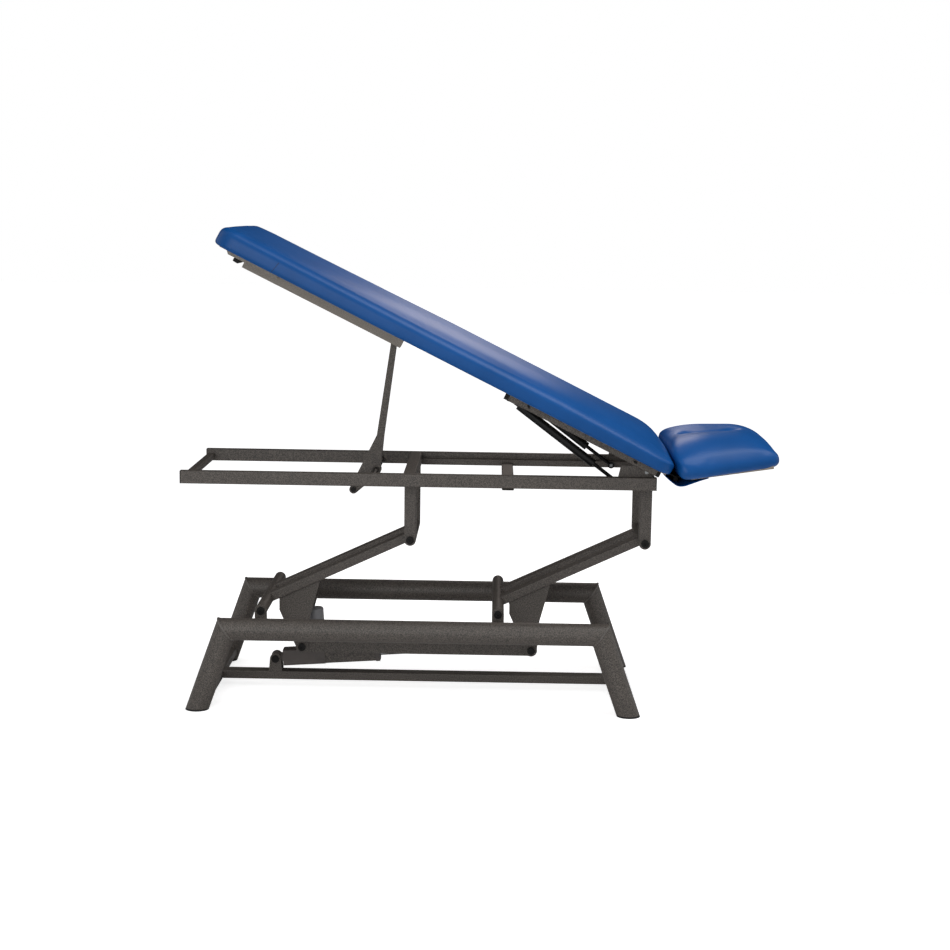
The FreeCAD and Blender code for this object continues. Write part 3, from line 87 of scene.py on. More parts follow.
# Studio: white sweep and background, a large soft box beside the camera, another above, and a
# small one behind the table whose mirror image is the pale sheen on the long pad. Behind that
# stands a dark flag, which keeps the white background out of the top's mirror image.
def linear(code, alpha=1.0):
    """Linear colour of an sRGB hex code."""
    channels = [int(code[i:i + 2], 16) / 255 for i in (1, 3, 5)]
    return (*(c / 12.92 if c <= 0.04045 else ((c + 0.055) / 1.055) ** 2.4
              for c in channels), alpha)


def add(tree, kind, links=None, **settings):
    """Add a node; links gives its inputs, either values or the outputs that feed them."""
    made = tree.nodes.new(kind)
    for name, setting in settings.items():
        setattr(made, name, setting)
    for name, source in (links or {}).items():
        if isinstance(source, bpy.types.NodeSocket):
            tree.links.new(source, made.inputs[name])
        else:
            made.inputs[name].default_value = source
    return made


def new_material(name):
    """New material, its tree and its principled shader."""
    material = bpy.data.materials.new(name)
    material.use_nodes = True
    return material, material.node_tree, material.node_tree.nodes["Principled BSDF"]


world = bpy.data.worlds.new("white_studio")
scene.world = world
world.use_nodes = True
sky = world.node_tree
sky.nodes.clear()
seen = add(sky, "ShaderNodeLightPath")
mirrored = add(sky, "ShaderNodeMath", {0: seen.outputs["Is Glossy Ray"],
                                       1: seen.outputs["Is Transmission Ray"]},
               operation="MAXIMUM")
shown = add(sky, "ShaderNodeMath", {0: seen.outputs["Is Camera Ray"], 1: mirrored.outputs[0]},
            operation="MAXIMUM")
white = add(sky, "ShaderNodeBackground", {"Color": linear("#ffffff"), "Strength": 1.0})
glow = add(sky, "ShaderNodeBackground", {"Color": linear("#f6f6f8"), "Strength": 0.36})
mixed = add(sky, "ShaderNodeMixShader", {0: shown.outputs[0], 1: glow.outputs[0],
                                         2: white.outputs[0]})
add(sky, "ShaderNodeOutputWorld", {"Surface": mixed.outputs[0]})


def soft_box(name, place, target, size, power, colour="#ffffff"):
    """Rectangular area lamp aimed at a point."""
    lamp = bpy.data.lights.new(name, "AREA")
    lamp.shape = "RECTANGLE"
    lamp.size, lamp.size_y = size
    lamp.energy = power
    lamp.color = linear(colour)[:3]
    holder = bpy.data.objects.new(name, lamp)
    holder.location = place
    holder.rotation_mode = "QUATERNION"
    holder.rotation_quaternion = (Vector(target) - Vector(place)).to_track_quat("-Z", "Y")
    holder.visible_camera = False
    scene.collection.objects.link(holder)


soft_box("key_box", (-1.3, -4.6, 1.8), (0.0, 0.0, 0.7), (2.4, 1.6), 56)
soft_box("top_box", (1.3, -0.5, 3.5), (0.1, 0.0, 0.9), (2.4, 2.0), 66)
soft_box("sheen_box", (0.45, 3.2, 2.4), (0.0, 0.0, 1.1), (0.9, 1.4), 11, "#fff2ea")

FLAG_HALF, FLAG_BACK, FLAG_FRONT, FLAG_TOP = 5.0, 3.4, 0.5, 7.0
flag_mesh = bpy.data.meshes.new("dark_flag")
flag_mesh.from_pydata([(-FLAG_HALF, FLAG_BACK, 0), (FLAG_HALF, FLAG_BACK, 0),
                       (FLAG_HALF, FLAG_BACK, FLAG_TOP), (-FLAG_HALF, FLAG_BACK, FLAG_TOP),
                       (-FLAG_HALF, FLAG_FRONT, FLAG_TOP), (FLAG_HALF, FLAG_FRONT, FLAG_TOP)],
                      [], [(0, 1, 2, 3), (3, 2, 5, 4)])
flag = bpy.data.objects.new("dark_flag", flag_mesh)
scene.collection.objects.link(flag)
felt, tree, shader = new_material("black_felt")
shader.inputs["Base Color"].default_value = linear("#101010")
shader.inputs["Roughness"].default_value = 1.0
flag_mesh.materials.append(felt)
flag.visible_camera = False
flag.visible_diffuse = False
flag.visible_shadow = False
flag.visible_transmission = False

FLOOR_HALF = 30.0
floor_mesh = bpy.data.meshes.new("studio_floor")
floor_mesh.from_pydata([(-FLOOR_HALF, -FLOOR_HALF, 0), (FLOOR_HALF, -FLOOR_HALF, 0),
                        (FLOOR_HALF, FLOOR_HALF, 0), (-FLOOR_HALF, FLOOR_HALF, 0)],
                       [], [(0, 1, 2, 3)])
floor = bpy.data.objects.new("studio_floor", floor_mesh)
scene.collection.objects.link(floor)
sweep, tree, shader = new_material("white_sweep_paper")
shader.inputs["Base Color"].default_value = linear("#f7f7f7")
shader.inputs["Roughness"].default_value = 0.9
path = add(tree, "ShaderNodeLightPath")
lift = add(tree, "ShaderNodeEmission", {"Color": linear("#ffffff"), "Strength": 0.75})
plain = add(tree, "ShaderNodeAddShader", {0: shader.outputs[0], 1: lift.outputs[0]})
chosen = add(tree, "ShaderNodeMixShader", {0: path.outputs["Is Camera Ray"],
                                           1: shader.outputs[0], 2: plain.outputs[0]})
tree.links.new(chosen.outputs[0], tree.nodes["Material Output"].inputs["Surface"])
floor_mesh.materials.append(sweep)


# Base and every other steel frame part: mild steel tube and plate, welded, then powder
# coated in a dark warm grey with a fine metallic fleck. The guide strip has the same coat,
# painted paler: painted light from the bright floor below it.
def object_place(tree, size):
    """Object coordinates in which one unit of a pattern is size millimetres long."""
    place = add(tree, "ShaderNodeTexCoord")
    mapped = add(tree, "ShaderNodeMapping", {"Vector": place.outputs["Object"],
                                             "Scale": [1000.0 / size] * 3})
    return mapped.outputs[0]


def powder_coat(name, ground, fleck, rough):
    """Baked powder coat: faint orange peel and pale flecks.

    The real flecks are under 1 mm and wouldn't show, so they are drawn 3 mm wide."""
    material, tree, shader = new_material(name)
    fine = add(tree, "ShaderNodeTexNoise",
               {"Vector": object_place(tree, 3.125), "Scale": 1.0, "Detail": 2.0})
    broad = add(tree, "ShaderNodeTexNoise",
                {"Vector": object_place(tree, 111.11), "Scale": 1.0, "Detail": 3.0})
    speck = add(tree, "ShaderNodeValToRGB", {"Fac": fine.outputs["Fac"]})
    speck.color_ramp.elements[0].position = 0.36
    speck.color_ramp.elements[0].color = linear(ground)
    speck.color_ramp.elements[1].position = 0.72
    speck.color_ramp.elements[1].color = linear(fleck)
    tone = add(tree, "ShaderNodeMapRange", {"Value": broad.outputs["Fac"], "From Min": 0.3,
                                            "From Max": 0.7, "To Min": 0.93, "To Max": 1.07})
    toned = add(tree, "ShaderNodeVectorMath", {0: speck.outputs[0], 1: tone.outputs[0]},
                operation="MULTIPLY")
    tree.links.new(toned.outputs[0], shader.inputs["Base Color"])
    shader.inputs["Roughness"].default_value = rough
    peel = add(tree, "ShaderNodeBump", {"Height": fine.outputs["Fac"], "Strength": 0.25,
                                        "Distance": 0.0006})
    tree.links.new(peel.outputs[0], shader.inputs["Normal"])
    return material


def finish_nodes(material, *names):
    """Give CAD nodes their finish."""
    for name in names:
        nodes[name].data.materials.clear()
        nodes[name].data.materials.append(material)


warm_grey_coat = powder_coat("powder_coated_steel", "#2e2a27", "#655e57", 0.55)
finish_nodes(warm_grey_coat, "base_side_tubes", "base_legs", "low_cross_members", "centre_rail",
             "actuator_bracket", "base_pivot_lugs", "foot_arm_tubes", "foot_arm_hubs",
             "foot_arm_lever_plates", "head_arm_tubes", "head_arm_hubs",
             "head_arm_lever_plates", "tie_bars", "actuator_outer_tube", "side_rails",
             "foot_crossbar", "main_crossbars", "low_crossbar", "rail_stiffeners",
             "drop_legs", "hinge_brackets", "section_side_bars", "section_hinge_ears",
             "prop_plates", "prop_hub")
# Painted floor light: the guide strip's coat is the frame's coat, painted paler for the light it
# catches from the floor.
pale_coat_painted_floor_light = powder_coat("guide_coat_painted_floor_light", "#736d66", "#8d867d", 0.5)
finish_nodes(pale_coat_painted_floor_light, "prop_guide")


# Weld beads: the mitres of the base frames are welded all round and left as laid, so a thin
# rippled bead stands at each corner and catches the light. Its coat is painted paler than
# the frame's, a painted highlight along each mitre.
def mesh_piece(name, mesh, material, body):
    """Link a finished mesh as a piece of the table that rides on one body."""
    piece = bpy.data.objects.new(name, mesh)
    scene.collection.objects.link(piece)
    mesh.materials.append(material)
    if body:
        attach(piece, body)
    return piece


BEAD_WIDTH, BEAD_RISE, BEAD_SIDES = 0.005, 0.34, 6
RIPPLE_LONG, RIPPLE_SHARE = 0.0045, 0.16


def bead_mesh(name, points, normals):
    """Closed bead along a ring of points: half a rope with a ripple along its length."""
    form = bmesh.new()
    rings = []
    count = len(points)
    run = 0.0
    for index, (point, out) in enumerate(zip(points, normals)):
        along = (points[(index + 1) % count] - points[index - 1]).normalized()
        side = along.cross(out).normalized()
        run += (point - points[index - 1]).length if index else 0.0
        swell = 1.0 + RIPPLE_SHARE * math.sin(run / RIPPLE_LONG * math.pi)
        height = BEAD_WIDTH * BEAD_RISE * swell
        ring = []
        for step in range(BEAD_SIDES):
            angle = math.pi * step / (BEAD_SIDES - 1)
            ring.append(form.verts.new(point + side * (math.cos(angle) * BEAD_WIDTH / 2)
                                       + out * (math.sin(angle) * height)))
        rings.append(ring)
    for index in range(count):
        first, second = rings[index], rings[(index + 1) % count]
        for step in range(BEAD_SIDES):
            after = (step + 1) % BEAD_SIDES
            form.faces.new((first[step], first[after], second[after], second[step]))
    bmesh.ops.recalc_face_normals(form, faces=form.faces)
    mesh = bpy.data.meshes.new(name)
    form.to_mesh(mesh)
    form.free()
    for face in mesh.polygons:
        face.use_smooth = True
    return mesh


TUBE_RADIUS = 0.035
LEG_RAKE = math.radians(19.5)
MITRE_SLOPE = math.tan(math.pi / 4 + LEG_RAKE / 2)
BASE_TOP = 0.294
BASE_HALF = 0.310
WELD_STEPS, WELD_LEAN = 72, 0.35
low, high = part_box("base_side_tubes")
# Painted highlight: the bead's coat is painted paler than the frame's coat.
weld_bead_painted_highlight = powder_coat("weld_bead_coat_painted_highlight", "#4b4743", "#6d6862", 0.4)
for end_x, sign, end in ((low.x, 1, "foot"), (high.x, -1, "head")):
    for y, side in ((-BASE_HALF, "near"), (BASE_HALF, "far")):
        points, normals = [], []
        for step in range(WELD_STEPS):
            turn = 2 * math.pi * step / WELD_STEPS
            across, rise = math.cos(turn) * TUBE_RADIUS, math.sin(turn) * TUBE_RADIUS
            drop = TUBE_RADIUS - rise
            points.append(Vector((end_x + sign * drop / MITRE_SLOPE, y + across,
                                  BASE_TOP - drop)))
            normals.append(Vector((-sign * WELD_LEAN * math.sin(turn), across / TUBE_RADIUS,
                                   rise / TUBE_RADIUS)).normalized())
        bead = bead_mesh(f"mitre_weld_{side}_{end}", points, normals)
        mesh_piece(f"mitre_weld_{side}_{end}", bead, weld_bead_painted_highlight, "base")


# Feet: moulded rubber pads pushed into the cut ends of the legs. Rubber is nearly black and
# dull, a little uneven from dust, and its grain is drawn 2 mm wide so that it shows.
def plain_finish(name, code, rough, metallic=0.0, grain=0.0, grain_size=2.0, dust=0.1,
                 gloss=0.5):
    """Moulded or plated surface, its tone uneven by dust, with pits of grain_size in mm."""
    material, tree, shader = new_material(name)
    cloud = add(tree, "ShaderNodeTexNoise",
                {"Vector": object_place(tree, 40.0), "Scale": 1.0, "Detail": 4.0})
    tone = add(tree, "ShaderNodeMapRange", {"Value": cloud.outputs["Fac"], "From Min": 0.3,
                                            "From Max": 0.7, "To Min": 1.0 - dust,
                                            "To Max": 1.0 + dust})
    colour = add(tree, "ShaderNodeVectorMath", {0: linear(code)[:3], 1: tone.outputs[0]},
                 operation="MULTIPLY")
    tree.links.new(colour.outputs[0], shader.inputs["Base Color"])
    shader.inputs["Roughness"].default_value = rough
    shader.inputs["Metallic"].default_value = metallic
    shader.inputs["Specular IOR Level"].default_value = gloss
    if grain:
        pits = add(tree, "ShaderNodeTexNoise",
                   {"Vector": object_place(tree, grain_size), "Scale": 1.0, "Detail": 2.0})
        bump = add(tree, "ShaderNodeBump", {"Height": pits.outputs["Fac"], "Strength": grain,
                                            "Distance": 0.0005})
        tree.links.new(bump.outputs[0], shader.inputs["Normal"])
    return material


rubber = plain_finish("moulded_rubber", "#161616", 0.85, grain=0.3)
finish_nodes(rubber, "rubber_feet")


# Bolts and pins: steel screws, pins and hinge leaves, blackened and oiled, so nearly black
# with a soft gleam. The section's hinge pins and the lower studs of the gas springs are zinc
# plated, which makes them pale and bright.
black_steel = plain_finish("blackened_steel", "#100f0e", 0.4, metallic=0.4, dust=0.15,
                           gloss=0.3)
zinc = plain_finish("zinc_plated_steel", "#8f9192", 0.32, metallic=0.9, dust=0.08)
finish_nodes(black_steel, "base_pivot_bolts", "leg_pivot_bolts", "foot_lever_bolts",
             "head_lever_pin", "actuator_rear_pin", "crank_pin", "prop_roller_pin",
             "headrest_hinge_pins", "section_hinge_leaves", "headrest_hinge_leaves",
             "spring_upper_mounts")
finish_nodes(zinc, "section_hinge_pins", "spring_lower_studs")


# Bushes, prop roller and prop shaft: the bushes and the roller are turned from natural nylon,
# creamy and half dull. The shaft that carries the prop is bare drawn steel, darkened by oil.
nylon = plain_finish("turned_nylon", "#b5b1a4", 0.5, dust=0.05)
finish_nodes(nylon, "foot_arm_bushes", "head_arm_bushes", "prop_roller")
dark_shaft = plain_finish("oiled_steel_shaft", "#2c2a28", 0.4, metallic=0.7)
finish_nodes(dark_shaft, "prop_shaft")


# Lift actuator: moulded gear housing with a spark-eroded grain, a paler motor cover, and a
# ground and hard-chromed rod that mirrors its surroundings. The rails' end plugs and the gas
# springs' sockets are moulded in black nylon.
housing_grey = plain_finish("moulded_housing", "#4c4643", 0.55, grain=0.4, grain_size=1.5)
motor_grey = plain_finish("motor_cover", "#77777a", 0.5, grain=0.2)
black_moulding = plain_finish("moulded_black_nylon", "#0b0b0c", 0.55, grain=0.3, gloss=0.2)
hard_chrome = plain_finish("hard_chromed_rod", "#c4c6c8", 0.12, metallic=1.0, dust=0.02)
finish_nodes(housing_grey, "actuator_gear_housing", "actuator_mouth_collar")
finish_nodes(motor_grey, "lift_motor")
finish_nodes(hard_chrome, "lift_rod")
finish_nodes(black_moulding, "rail_end_plugs", "gas_ball_sockets")


# Gas springs: steel cylinder in black enamel, smooth and half glossy, and a nitrided rod,
# which is nearly black with a metal gleam.
enamel = plain_finish("black_enamelled_tube", "#08090a", 0.4, dust=0.05, gloss=0.25)
nitrided = plain_finish("nitrided_rod", "#101113", 0.3, metallic=0.6, dust=0.05, gloss=0.3)
finish_nodes(enamel, "gas_cylinders")
finish_nodes(nitrided, "gas_rods")


# Boards: birch plywood under the upholstery, sealed in a light grey-brown on the open side,
# where faint streaks of grain run along the table.
STREAK_LONG, STREAK_WIDE = 166.67, 4.5455


def board_finish(name):
    """Sealed plywood: faint streaks, STREAK_LONG by STREAK_WIDE millimetres."""
    material, tree, shader = new_material(name)
    place = add(tree, "ShaderNodeTexCoord")
    drawn = add(tree, "ShaderNodeMapping",
                {"Vector": place.outputs["Object"],
                 "Scale": (1000.0 / STREAK_LONG, 1000.0 / STREAK_WIDE, 1000.0 / STREAK_WIDE)})
    streak = add(tree, "ShaderNodeTexNoise", {"Vector": drawn.outputs[0], "Scale": 1.0,
                                              "Detail": 5.0})
    ramp = add(tree, "ShaderNodeValToRGB", {"Fac": streak.outputs["Fac"]})
    ramp.color_ramp.elements[0].position = 0.3
    ramp.color_ramp.elements[0].color = linear("#857b70")
    ramp.color_ramp.elements[1].position = 0.7
    ramp.color_ramp.elements[1].color = linear("#a2978a")
    tree.links.new(ramp.outputs[0], shader.inputs["Base Color"])
    shader.inputs["Roughness"].default_value = 0.6
    return material


finish_nodes(board_finish("sealed_plywood"), "long_board", "headrest_board")


# Upholstery: foam on the boards under coated vinyl, pulled tight over rounded edges and
# stapled below. The vinyl is calendered on cloth and pressed with a fine leather grain, so it
# is royal blue and satin, with a broad soft sheen.
def vinyl_finish(name):
    """Calendered vinyl: pressed grain of about 2 mm cells, soft sheen, uneven tension."""
    material, tree, shader = new_material(name)
    broad = add(tree, "ShaderNodeTexNoise",
                {"Vector": object_place(tree, 200.0), "Scale": 1.0, "Detail": 3.0})
    ramp = add(tree, "ShaderNodeValToRGB", {"Fac": broad.outputs["Fac"]})
    ramp.color_ramp.elements[0].position = 0.3
    ramp.color_ramp.elements[0].color = linear("#0b4886")
    ramp.color_ramp.elements[1].position = 0.7
    ramp.color_ramp.elements[1].color = linear("#105093")
    tree.links.new(ramp.outputs[0], shader.inputs["Base Color"])
    cells = add(tree, "ShaderNodeTexVoronoi",
                {"Vector": object_place(tree, 2.0833), "Scale": 1.0},
                feature="DISTANCE_TO_EDGE")
    grain = add(tree, "ShaderNodeBump", {"Height": cells.outputs["Distance"],
                                         "Strength": 0.12, "Distance": 0.0004})
    slack = add(tree, "ShaderNodeBump", {"Height": broad.outputs["Fac"], "Strength": 0.1,
                                         "Distance": 0.01, "Normal": grain.outputs[0]})
    tree.links.new(slack.outputs[0], shader.inputs["Normal"])
    shader.inputs["Roughness"].default_value = 0.37
    shader.inputs["Specular IOR Level"].default_value = 0.18
    return material


blue_vinyl = vinyl_finish("calendered_vinyl")


def rounded_ring(corners, radii, spacing):
    """Points round a convex outline, each corner with its own radius, evenly enough to loft."""
    count = len(corners)
    arcs = []
    for index, (corner, radius) in enumerate(zip(corners, radii)):
        here = Vector(corner)
        before = (Vector(corners[index - 1]) - here).normalized()
        after = (Vector(corners[(index + 1) % count]) - here).normalized()
        half = before.angle(after) / 2
        middle = here + (before + after).normalized() * (radius / math.sin(half))
        reach = radius / math.tan(half)
        start, end = here + before * reach - middle, here + after * reach - middle
        turn = start.angle(end)
        steps = max(3, round(radius * turn / spacing))
        arcs.append([middle + (start * math.sin((1 - step / steps) * turn)
                               + end * math.sin(step / steps * turn)) / math.sin(turn)
                     for step in range(steps + 1)])
    ring = []
    for index, arc in enumerate(arcs):
        ring += arc
        following = arcs[(index + 1) % count][0]
        parts = max(1, round((following - arc[-1]).length / spacing))
        ring += [arc[-1].lerp(following, part / parts) for part in range(1, parts)]
    return ring


def shrink(ring, inset):
    """Move each point of a ring inwards along its own normal."""
    moved = []
    for index, point in enumerate(ring):
        along = ring[(index + 1) % len(ring)] - ring[index - 1]
        moved.append(point + Vector((-along.y, along.x)).normalized() * inset)
    return moved


LOWER_STEPS, UPPER_STEPS = 4, 8


def cushion_mesh(name, ring, base, top, lower_in, lower_up, edge, edge_drop):
    """Closed form with flat faces: oval lower edge, upright side, oval upper edge."""
    layers = []
    for step in range(LOWER_STEPS + 1):
        turn = math.pi / 2 * step / LOWER_STEPS
        layers.append((lower_in * (1 - math.sin(turn)), base + lower_up * (1 - math.cos(turn))))
    for step in range(UPPER_STEPS + 1):
        turn = math.pi / 2 * step / UPPER_STEPS
        layers.append((edge * (1 - math.cos(turn)), top - edge_drop * (1 - math.sin(turn))))
    form = bmesh.new()
    rings = [[form.verts.new((point.x, point.y, height)) for point in shrink(ring, inset)]
             for inset, height in layers]
    for first, second in zip(rings, rings[1:]):
        for index in range(len(ring)):
            after = (index + 1) % len(ring)
            form.faces.new((first[index], first[after], second[after], second[index]))
    form.faces.new(rings[0][::-1])
    form.faces.new(rings[-1])
    bmesh.ops.recalc_face_normals(form, faces=form.faces)
    mesh = bpy.data.meshes.new(name)
    form.to_mesh(mesh)
    form.free()
    return mesh


def crown(mesh, corners, reaches, base, top, fall_off, swell):
    """Dome the upper side, from each side of its outline inwards over that side's reach.

    swell(x) gives the rise of its middle and the sink of its edge."""
    sides = []
    for index, (corner, reach) in enumerate(zip(corners, reaches)):
        start, end = Vector(corner), Vector(corners[(index + 1) % len(corners)])
        along = (end - start).normalized()
        if reach:
            sides.append((start, Vector((-along.y, along.x)), reach))
    for vertex in mesh.vertices:
        share = (vertex.co.z - base) / (top - base)
        if share > 0.5:
            full = 1.0
            for start, inward, reach in sides:
                inside = min(max((vertex.co.xy - start).dot(inward) / reach, 0.0), 1.0)
                full *= 1.0 - (1.0 - inside) ** fall_off
            rise, sink = swell(vertex.co.x)
            vertex.co.z += (rise * full - sink * (1.0 - full)) * (2.0 * share - 1.0)


def evaluated_copy(piece):
    """Mesh of a piece with its modifiers applied."""
    graph = bpy.context.evaluated_depsgraph_get()
    return bpy.data.meshes.new_from_object(piece.evaluated_get(graph))


def even_skin(mesh, voxel):
    """Object whose mesh has quads of one size all over."""
    piece = bpy.data.objects.new("cover_in_work", mesh)
    scene.collection.objects.link(piece)
    skin = piece.modifiers.new("skin", "REMESH")
    skin.mode = "VOXEL"
    skin.voxel_size = voxel
    skin.use_smooth_shade = True
    even = evaluated_copy(piece)
    piece.modifiers.clear()
    piece.data = even
    return piece


SWELL_FRAMES, SWELL_CAP, SWELL_PRESSURE = 20, 0.003, 3.0


def stuff(piece, pinned_below):
    """Swell a cushion as foam swells its cover, holding what is stapled down."""
    start = [vertex.co.copy() for vertex in piece.data.vertices]
    held = piece.vertex_groups.new(name="stapled")
    held.add([vertex.index for vertex in piece.data.vertices if vertex.co.z < pinned_below],
             1.0, "REPLACE")
    cloth = piece.modifiers.new("cover", "CLOTH")
    cloth.settings.quality = 5
    cloth.settings.mass = 0.4
    cloth.settings.tension_stiffness = 25
    cloth.settings.compression_stiffness = 25
    cloth.settings.bending_stiffness = 2.0
    cloth.settings.use_pressure = True
    cloth.settings.uniform_pressure_force = SWELL_PRESSURE
    cloth.settings.effector_weights.gravity = 0.0
    cloth.settings.vertex_group_mass = "stapled"
    cloth.collision_settings.use_collision = False
    cloth.point_cache.frame_start, cloth.point_cache.frame_end = 1, SWELL_FRAMES
    for number in range(1, SWELL_FRAMES + 1):
        scene.frame_set(number)
    swollen = evaluated_copy(piece)
    piece.modifiers.clear()
    piece.data = swollen
    for vertex, rest in zip(swollen.vertices, start):
        shift = vertex.co - rest
        if shift.length > SWELL_CAP:
            vertex.co = rest + shift * (SWELL_CAP / shift.length)
    scene.frame_set(1)
    smooth = piece.modifiers.new("relax", "SMOOTH")
    smooth.factor, smooth.iterations = 0.5, 6
    finished = evaluated_copy(piece)
    bpy.data.objects.remove(piece)
    for face in finished.polygons:
        face.use_smooth = True
    return finished


# Side bars' end plugs, their screws and the foot bracket: moulded plugs pressed into the four
# open ends, two black screws in each bar, two plates with a chamfered end at the sides of the
# prop guide, in its coat with painted floor light, and a black latch bar below them.
SECTION_SLOPE = math.radians(26.3)
joint_places = {joint["name"]: joint.get("pos_m") for joint in frame["joints"]}
on_section = (Matrix.Translation(joint_places["section_tilt"])
              @ Matrix.Rotation(SECTION_SLOPE, 4, (0, 1, 0)))


def rounded_solid(form, outline, near, far, rim):
    """Add a closed solid to a form: an outline in side view, from near to far, edges rounded."""
    made = [[form.verts.new((x, y, z)) for x, z in outline] for y in (near, far)]
    faces = [form.faces.new(made[0]), form.faces.new(made[1][::-1])]
    for index in range(len(outline)):
        after = (index + 1) % len(outline)
        faces.append(form.faces.new((made[0][index], made[1][index], made[1][after],
                                     made[0][after])))
    bmesh.ops.recalc_face_normals(form, faces=faces)
    edges = {edge for face in faces for edge in face.edges}
    bmesh.ops.bevel(form, geom=list(edges), offset=rim, segments=3, affect="EDGES", profile=0.5)


def section_piece(name, form, material):
    """Turn a form made in the long section's own axes into a piece that rides on it."""
    mesh = bpy.data.meshes.new(name)
    form.to_mesh(mesh)
    form.free()
    mesh.transform(on_section)
    return mesh_piece(name, mesh, material, "long_section")


BAR_FROM, BAR_TO, BAR_LOW, BAR_TOP = -0.489, 0.026, 0.003, 0.025
BAR_IN, BAR_OUT = 0.256, 0.276
FOOT_PLUG, HEAD_PLUG, PLUG_RIM = 0.0065, 0.012, 0.003
form = bmesh.new()
for start, end in ((BAR_FROM - FOOT_PLUG, BAR_FROM + 0.002),
                   (BAR_TO - 0.002, BAR_TO + HEAD_PLUG)):
    block = [(start, BAR_LOW), (end, BAR_LOW), (end, BAR_TOP), (start, BAR_TOP)]
    for near, far in ((-BAR_OUT, -BAR_IN), (BAR_IN, BAR_OUT)):
        rounded_solid(form, block, near, far, PLUG_RIM)
plugs = section_piece("bar_end_plugs", form, black_moulding)
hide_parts("bar_end_caps")

SCREW_PLACES = ((-0.424, 0.019), (-0.047, 0.014))
SCREW_PROFILE = ((0.0044, -0.0005), (0.0044, 0.0008), (0.0034, 0.0020), (0.0014, 0.0026))
SCREW_SIDES = 16
form = bmesh.new()
for x, z in SCREW_PLACES:
    for sign in (-1, 1):
        rings = []
        for radius, out in SCREW_PROFILE:
            turns = [2 * math.pi * step / SCREW_SIDES for step in range(SCREW_SIDES)]
            rings.append([form.verts.new((x + radius * math.cos(turn), sign * (BAR_OUT + out),
                                          z + radius * math.sin(turn))) for turn in turns])
        for first, second in zip(rings, rings[1:]):
            for step in range(SCREW_SIDES):
                after = (step + 1) % SCREW_SIDES
                form.faces.new((first[step], first[after], second[after], second[step]))
        form.faces.new(rings[0])
        form.faces.new(rings[-1])
bmesh.ops.recalc_face_normals(form, faces=form.faces)
section_piece("bar_screws", form, black_steel)

PLATE_IN, PLATE_OUT, PLATE_RIM = 0.0483, 0.0513, 0.0008
PLATE_OUTLINE = [(-1.4917, 0.0015), (-1.4828, -0.0082), (-1.310, -0.0082), (-1.310, 0.0247),
                 (-1.4780, 0.0247), (-1.4917, 0.0180)]
form = bmesh.new()
for near, far in ((-PLATE_OUT, -PLATE_IN), (PLATE_IN, PLATE_OUT)):
    rounded_solid(form, PLATE_OUTLINE, near, far, PLATE_RIM)
# The plates share the guide strip's coat, painted pale as painted floor light.
section_piece("foot_bracket_plates", form, pale_coat_painted_floor_light)

LATCH_HALF, LATCH_RIM = 0.050, 0.0025
LATCH_OUTLINE = [(-1.461, -0.0085), (-1.461, -0.0200), (-1.443, -0.0215), (-1.436, -0.0085)]
form = bmesh.new()
rounded_solid(form, LATCH_OUTLINE, -LATCH_HALF, LATCH_HALF, LATCH_RIM)
section_piece("foot_latch_bar", form, black_moulding)


# Long pad: 1576 x 680 mm of foam under a cover that is crowned more towards the head end. The
# cover is closed by a sewn upright seam in each side band, in thread darker than the vinyl.
LONG_CORNERS = [(-1.510, -0.340), (0.066, -0.340), (0.066, 0.340), (-1.510, 0.340)]
LONG_REACH = [0.26, 0.13, 0.26, 0.11]
LONG_BASE, LONG_TOP = 0.0252, 0.0880
LONG_RADIUS, LONG_SPACING, LONG_VOXEL = 0.060, 0.010, 0.008


def ramp_up(value, start, end):
    """0 before start, 1 after end, straight between them."""
    return min(max((value - start) / (end - start), 0.0), 1.0)


def long_swell(x):
    """Rise of the long pad's middle and sink of its edge at one place along it."""
    fuller = ramp_up(x, -1.45, -0.75)
    return 0.010 + 0.011 * fuller, 0.008 * fuller + 0.012 * ramp_up(x, -0.35, 0.05)


long_ring = rounded_ring(LONG_CORNERS, [LONG_RADIUS] * 4, LONG_SPACING)
long_block = cushion_mesh("long_pad_cover", long_ring, LONG_BASE, LONG_TOP,
                          lower_in=0.006, lower_up=0.006, edge=0.028, edge_drop=0.022)
long_form = even_skin(long_block, LONG_VOXEL)
crown(long_form.data, LONG_CORNERS, LONG_REACH, LONG_BASE, LONG_TOP, fall_off=2.0,
      swell=long_swell)
long_mesh = stuff(long_form, pinned_below=0.030)
seam_finder = bvhtree.BVHTree.FromPolygons([vertex.co for vertex in long_mesh.vertices],
                                           [face.vertices[:] for face in long_mesh.polygons])
long_mesh.transform(on_section)
long_cover = mesh_piece("long_pad_cover", long_mesh, blue_vinyl, "long_section")
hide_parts("long_pad")

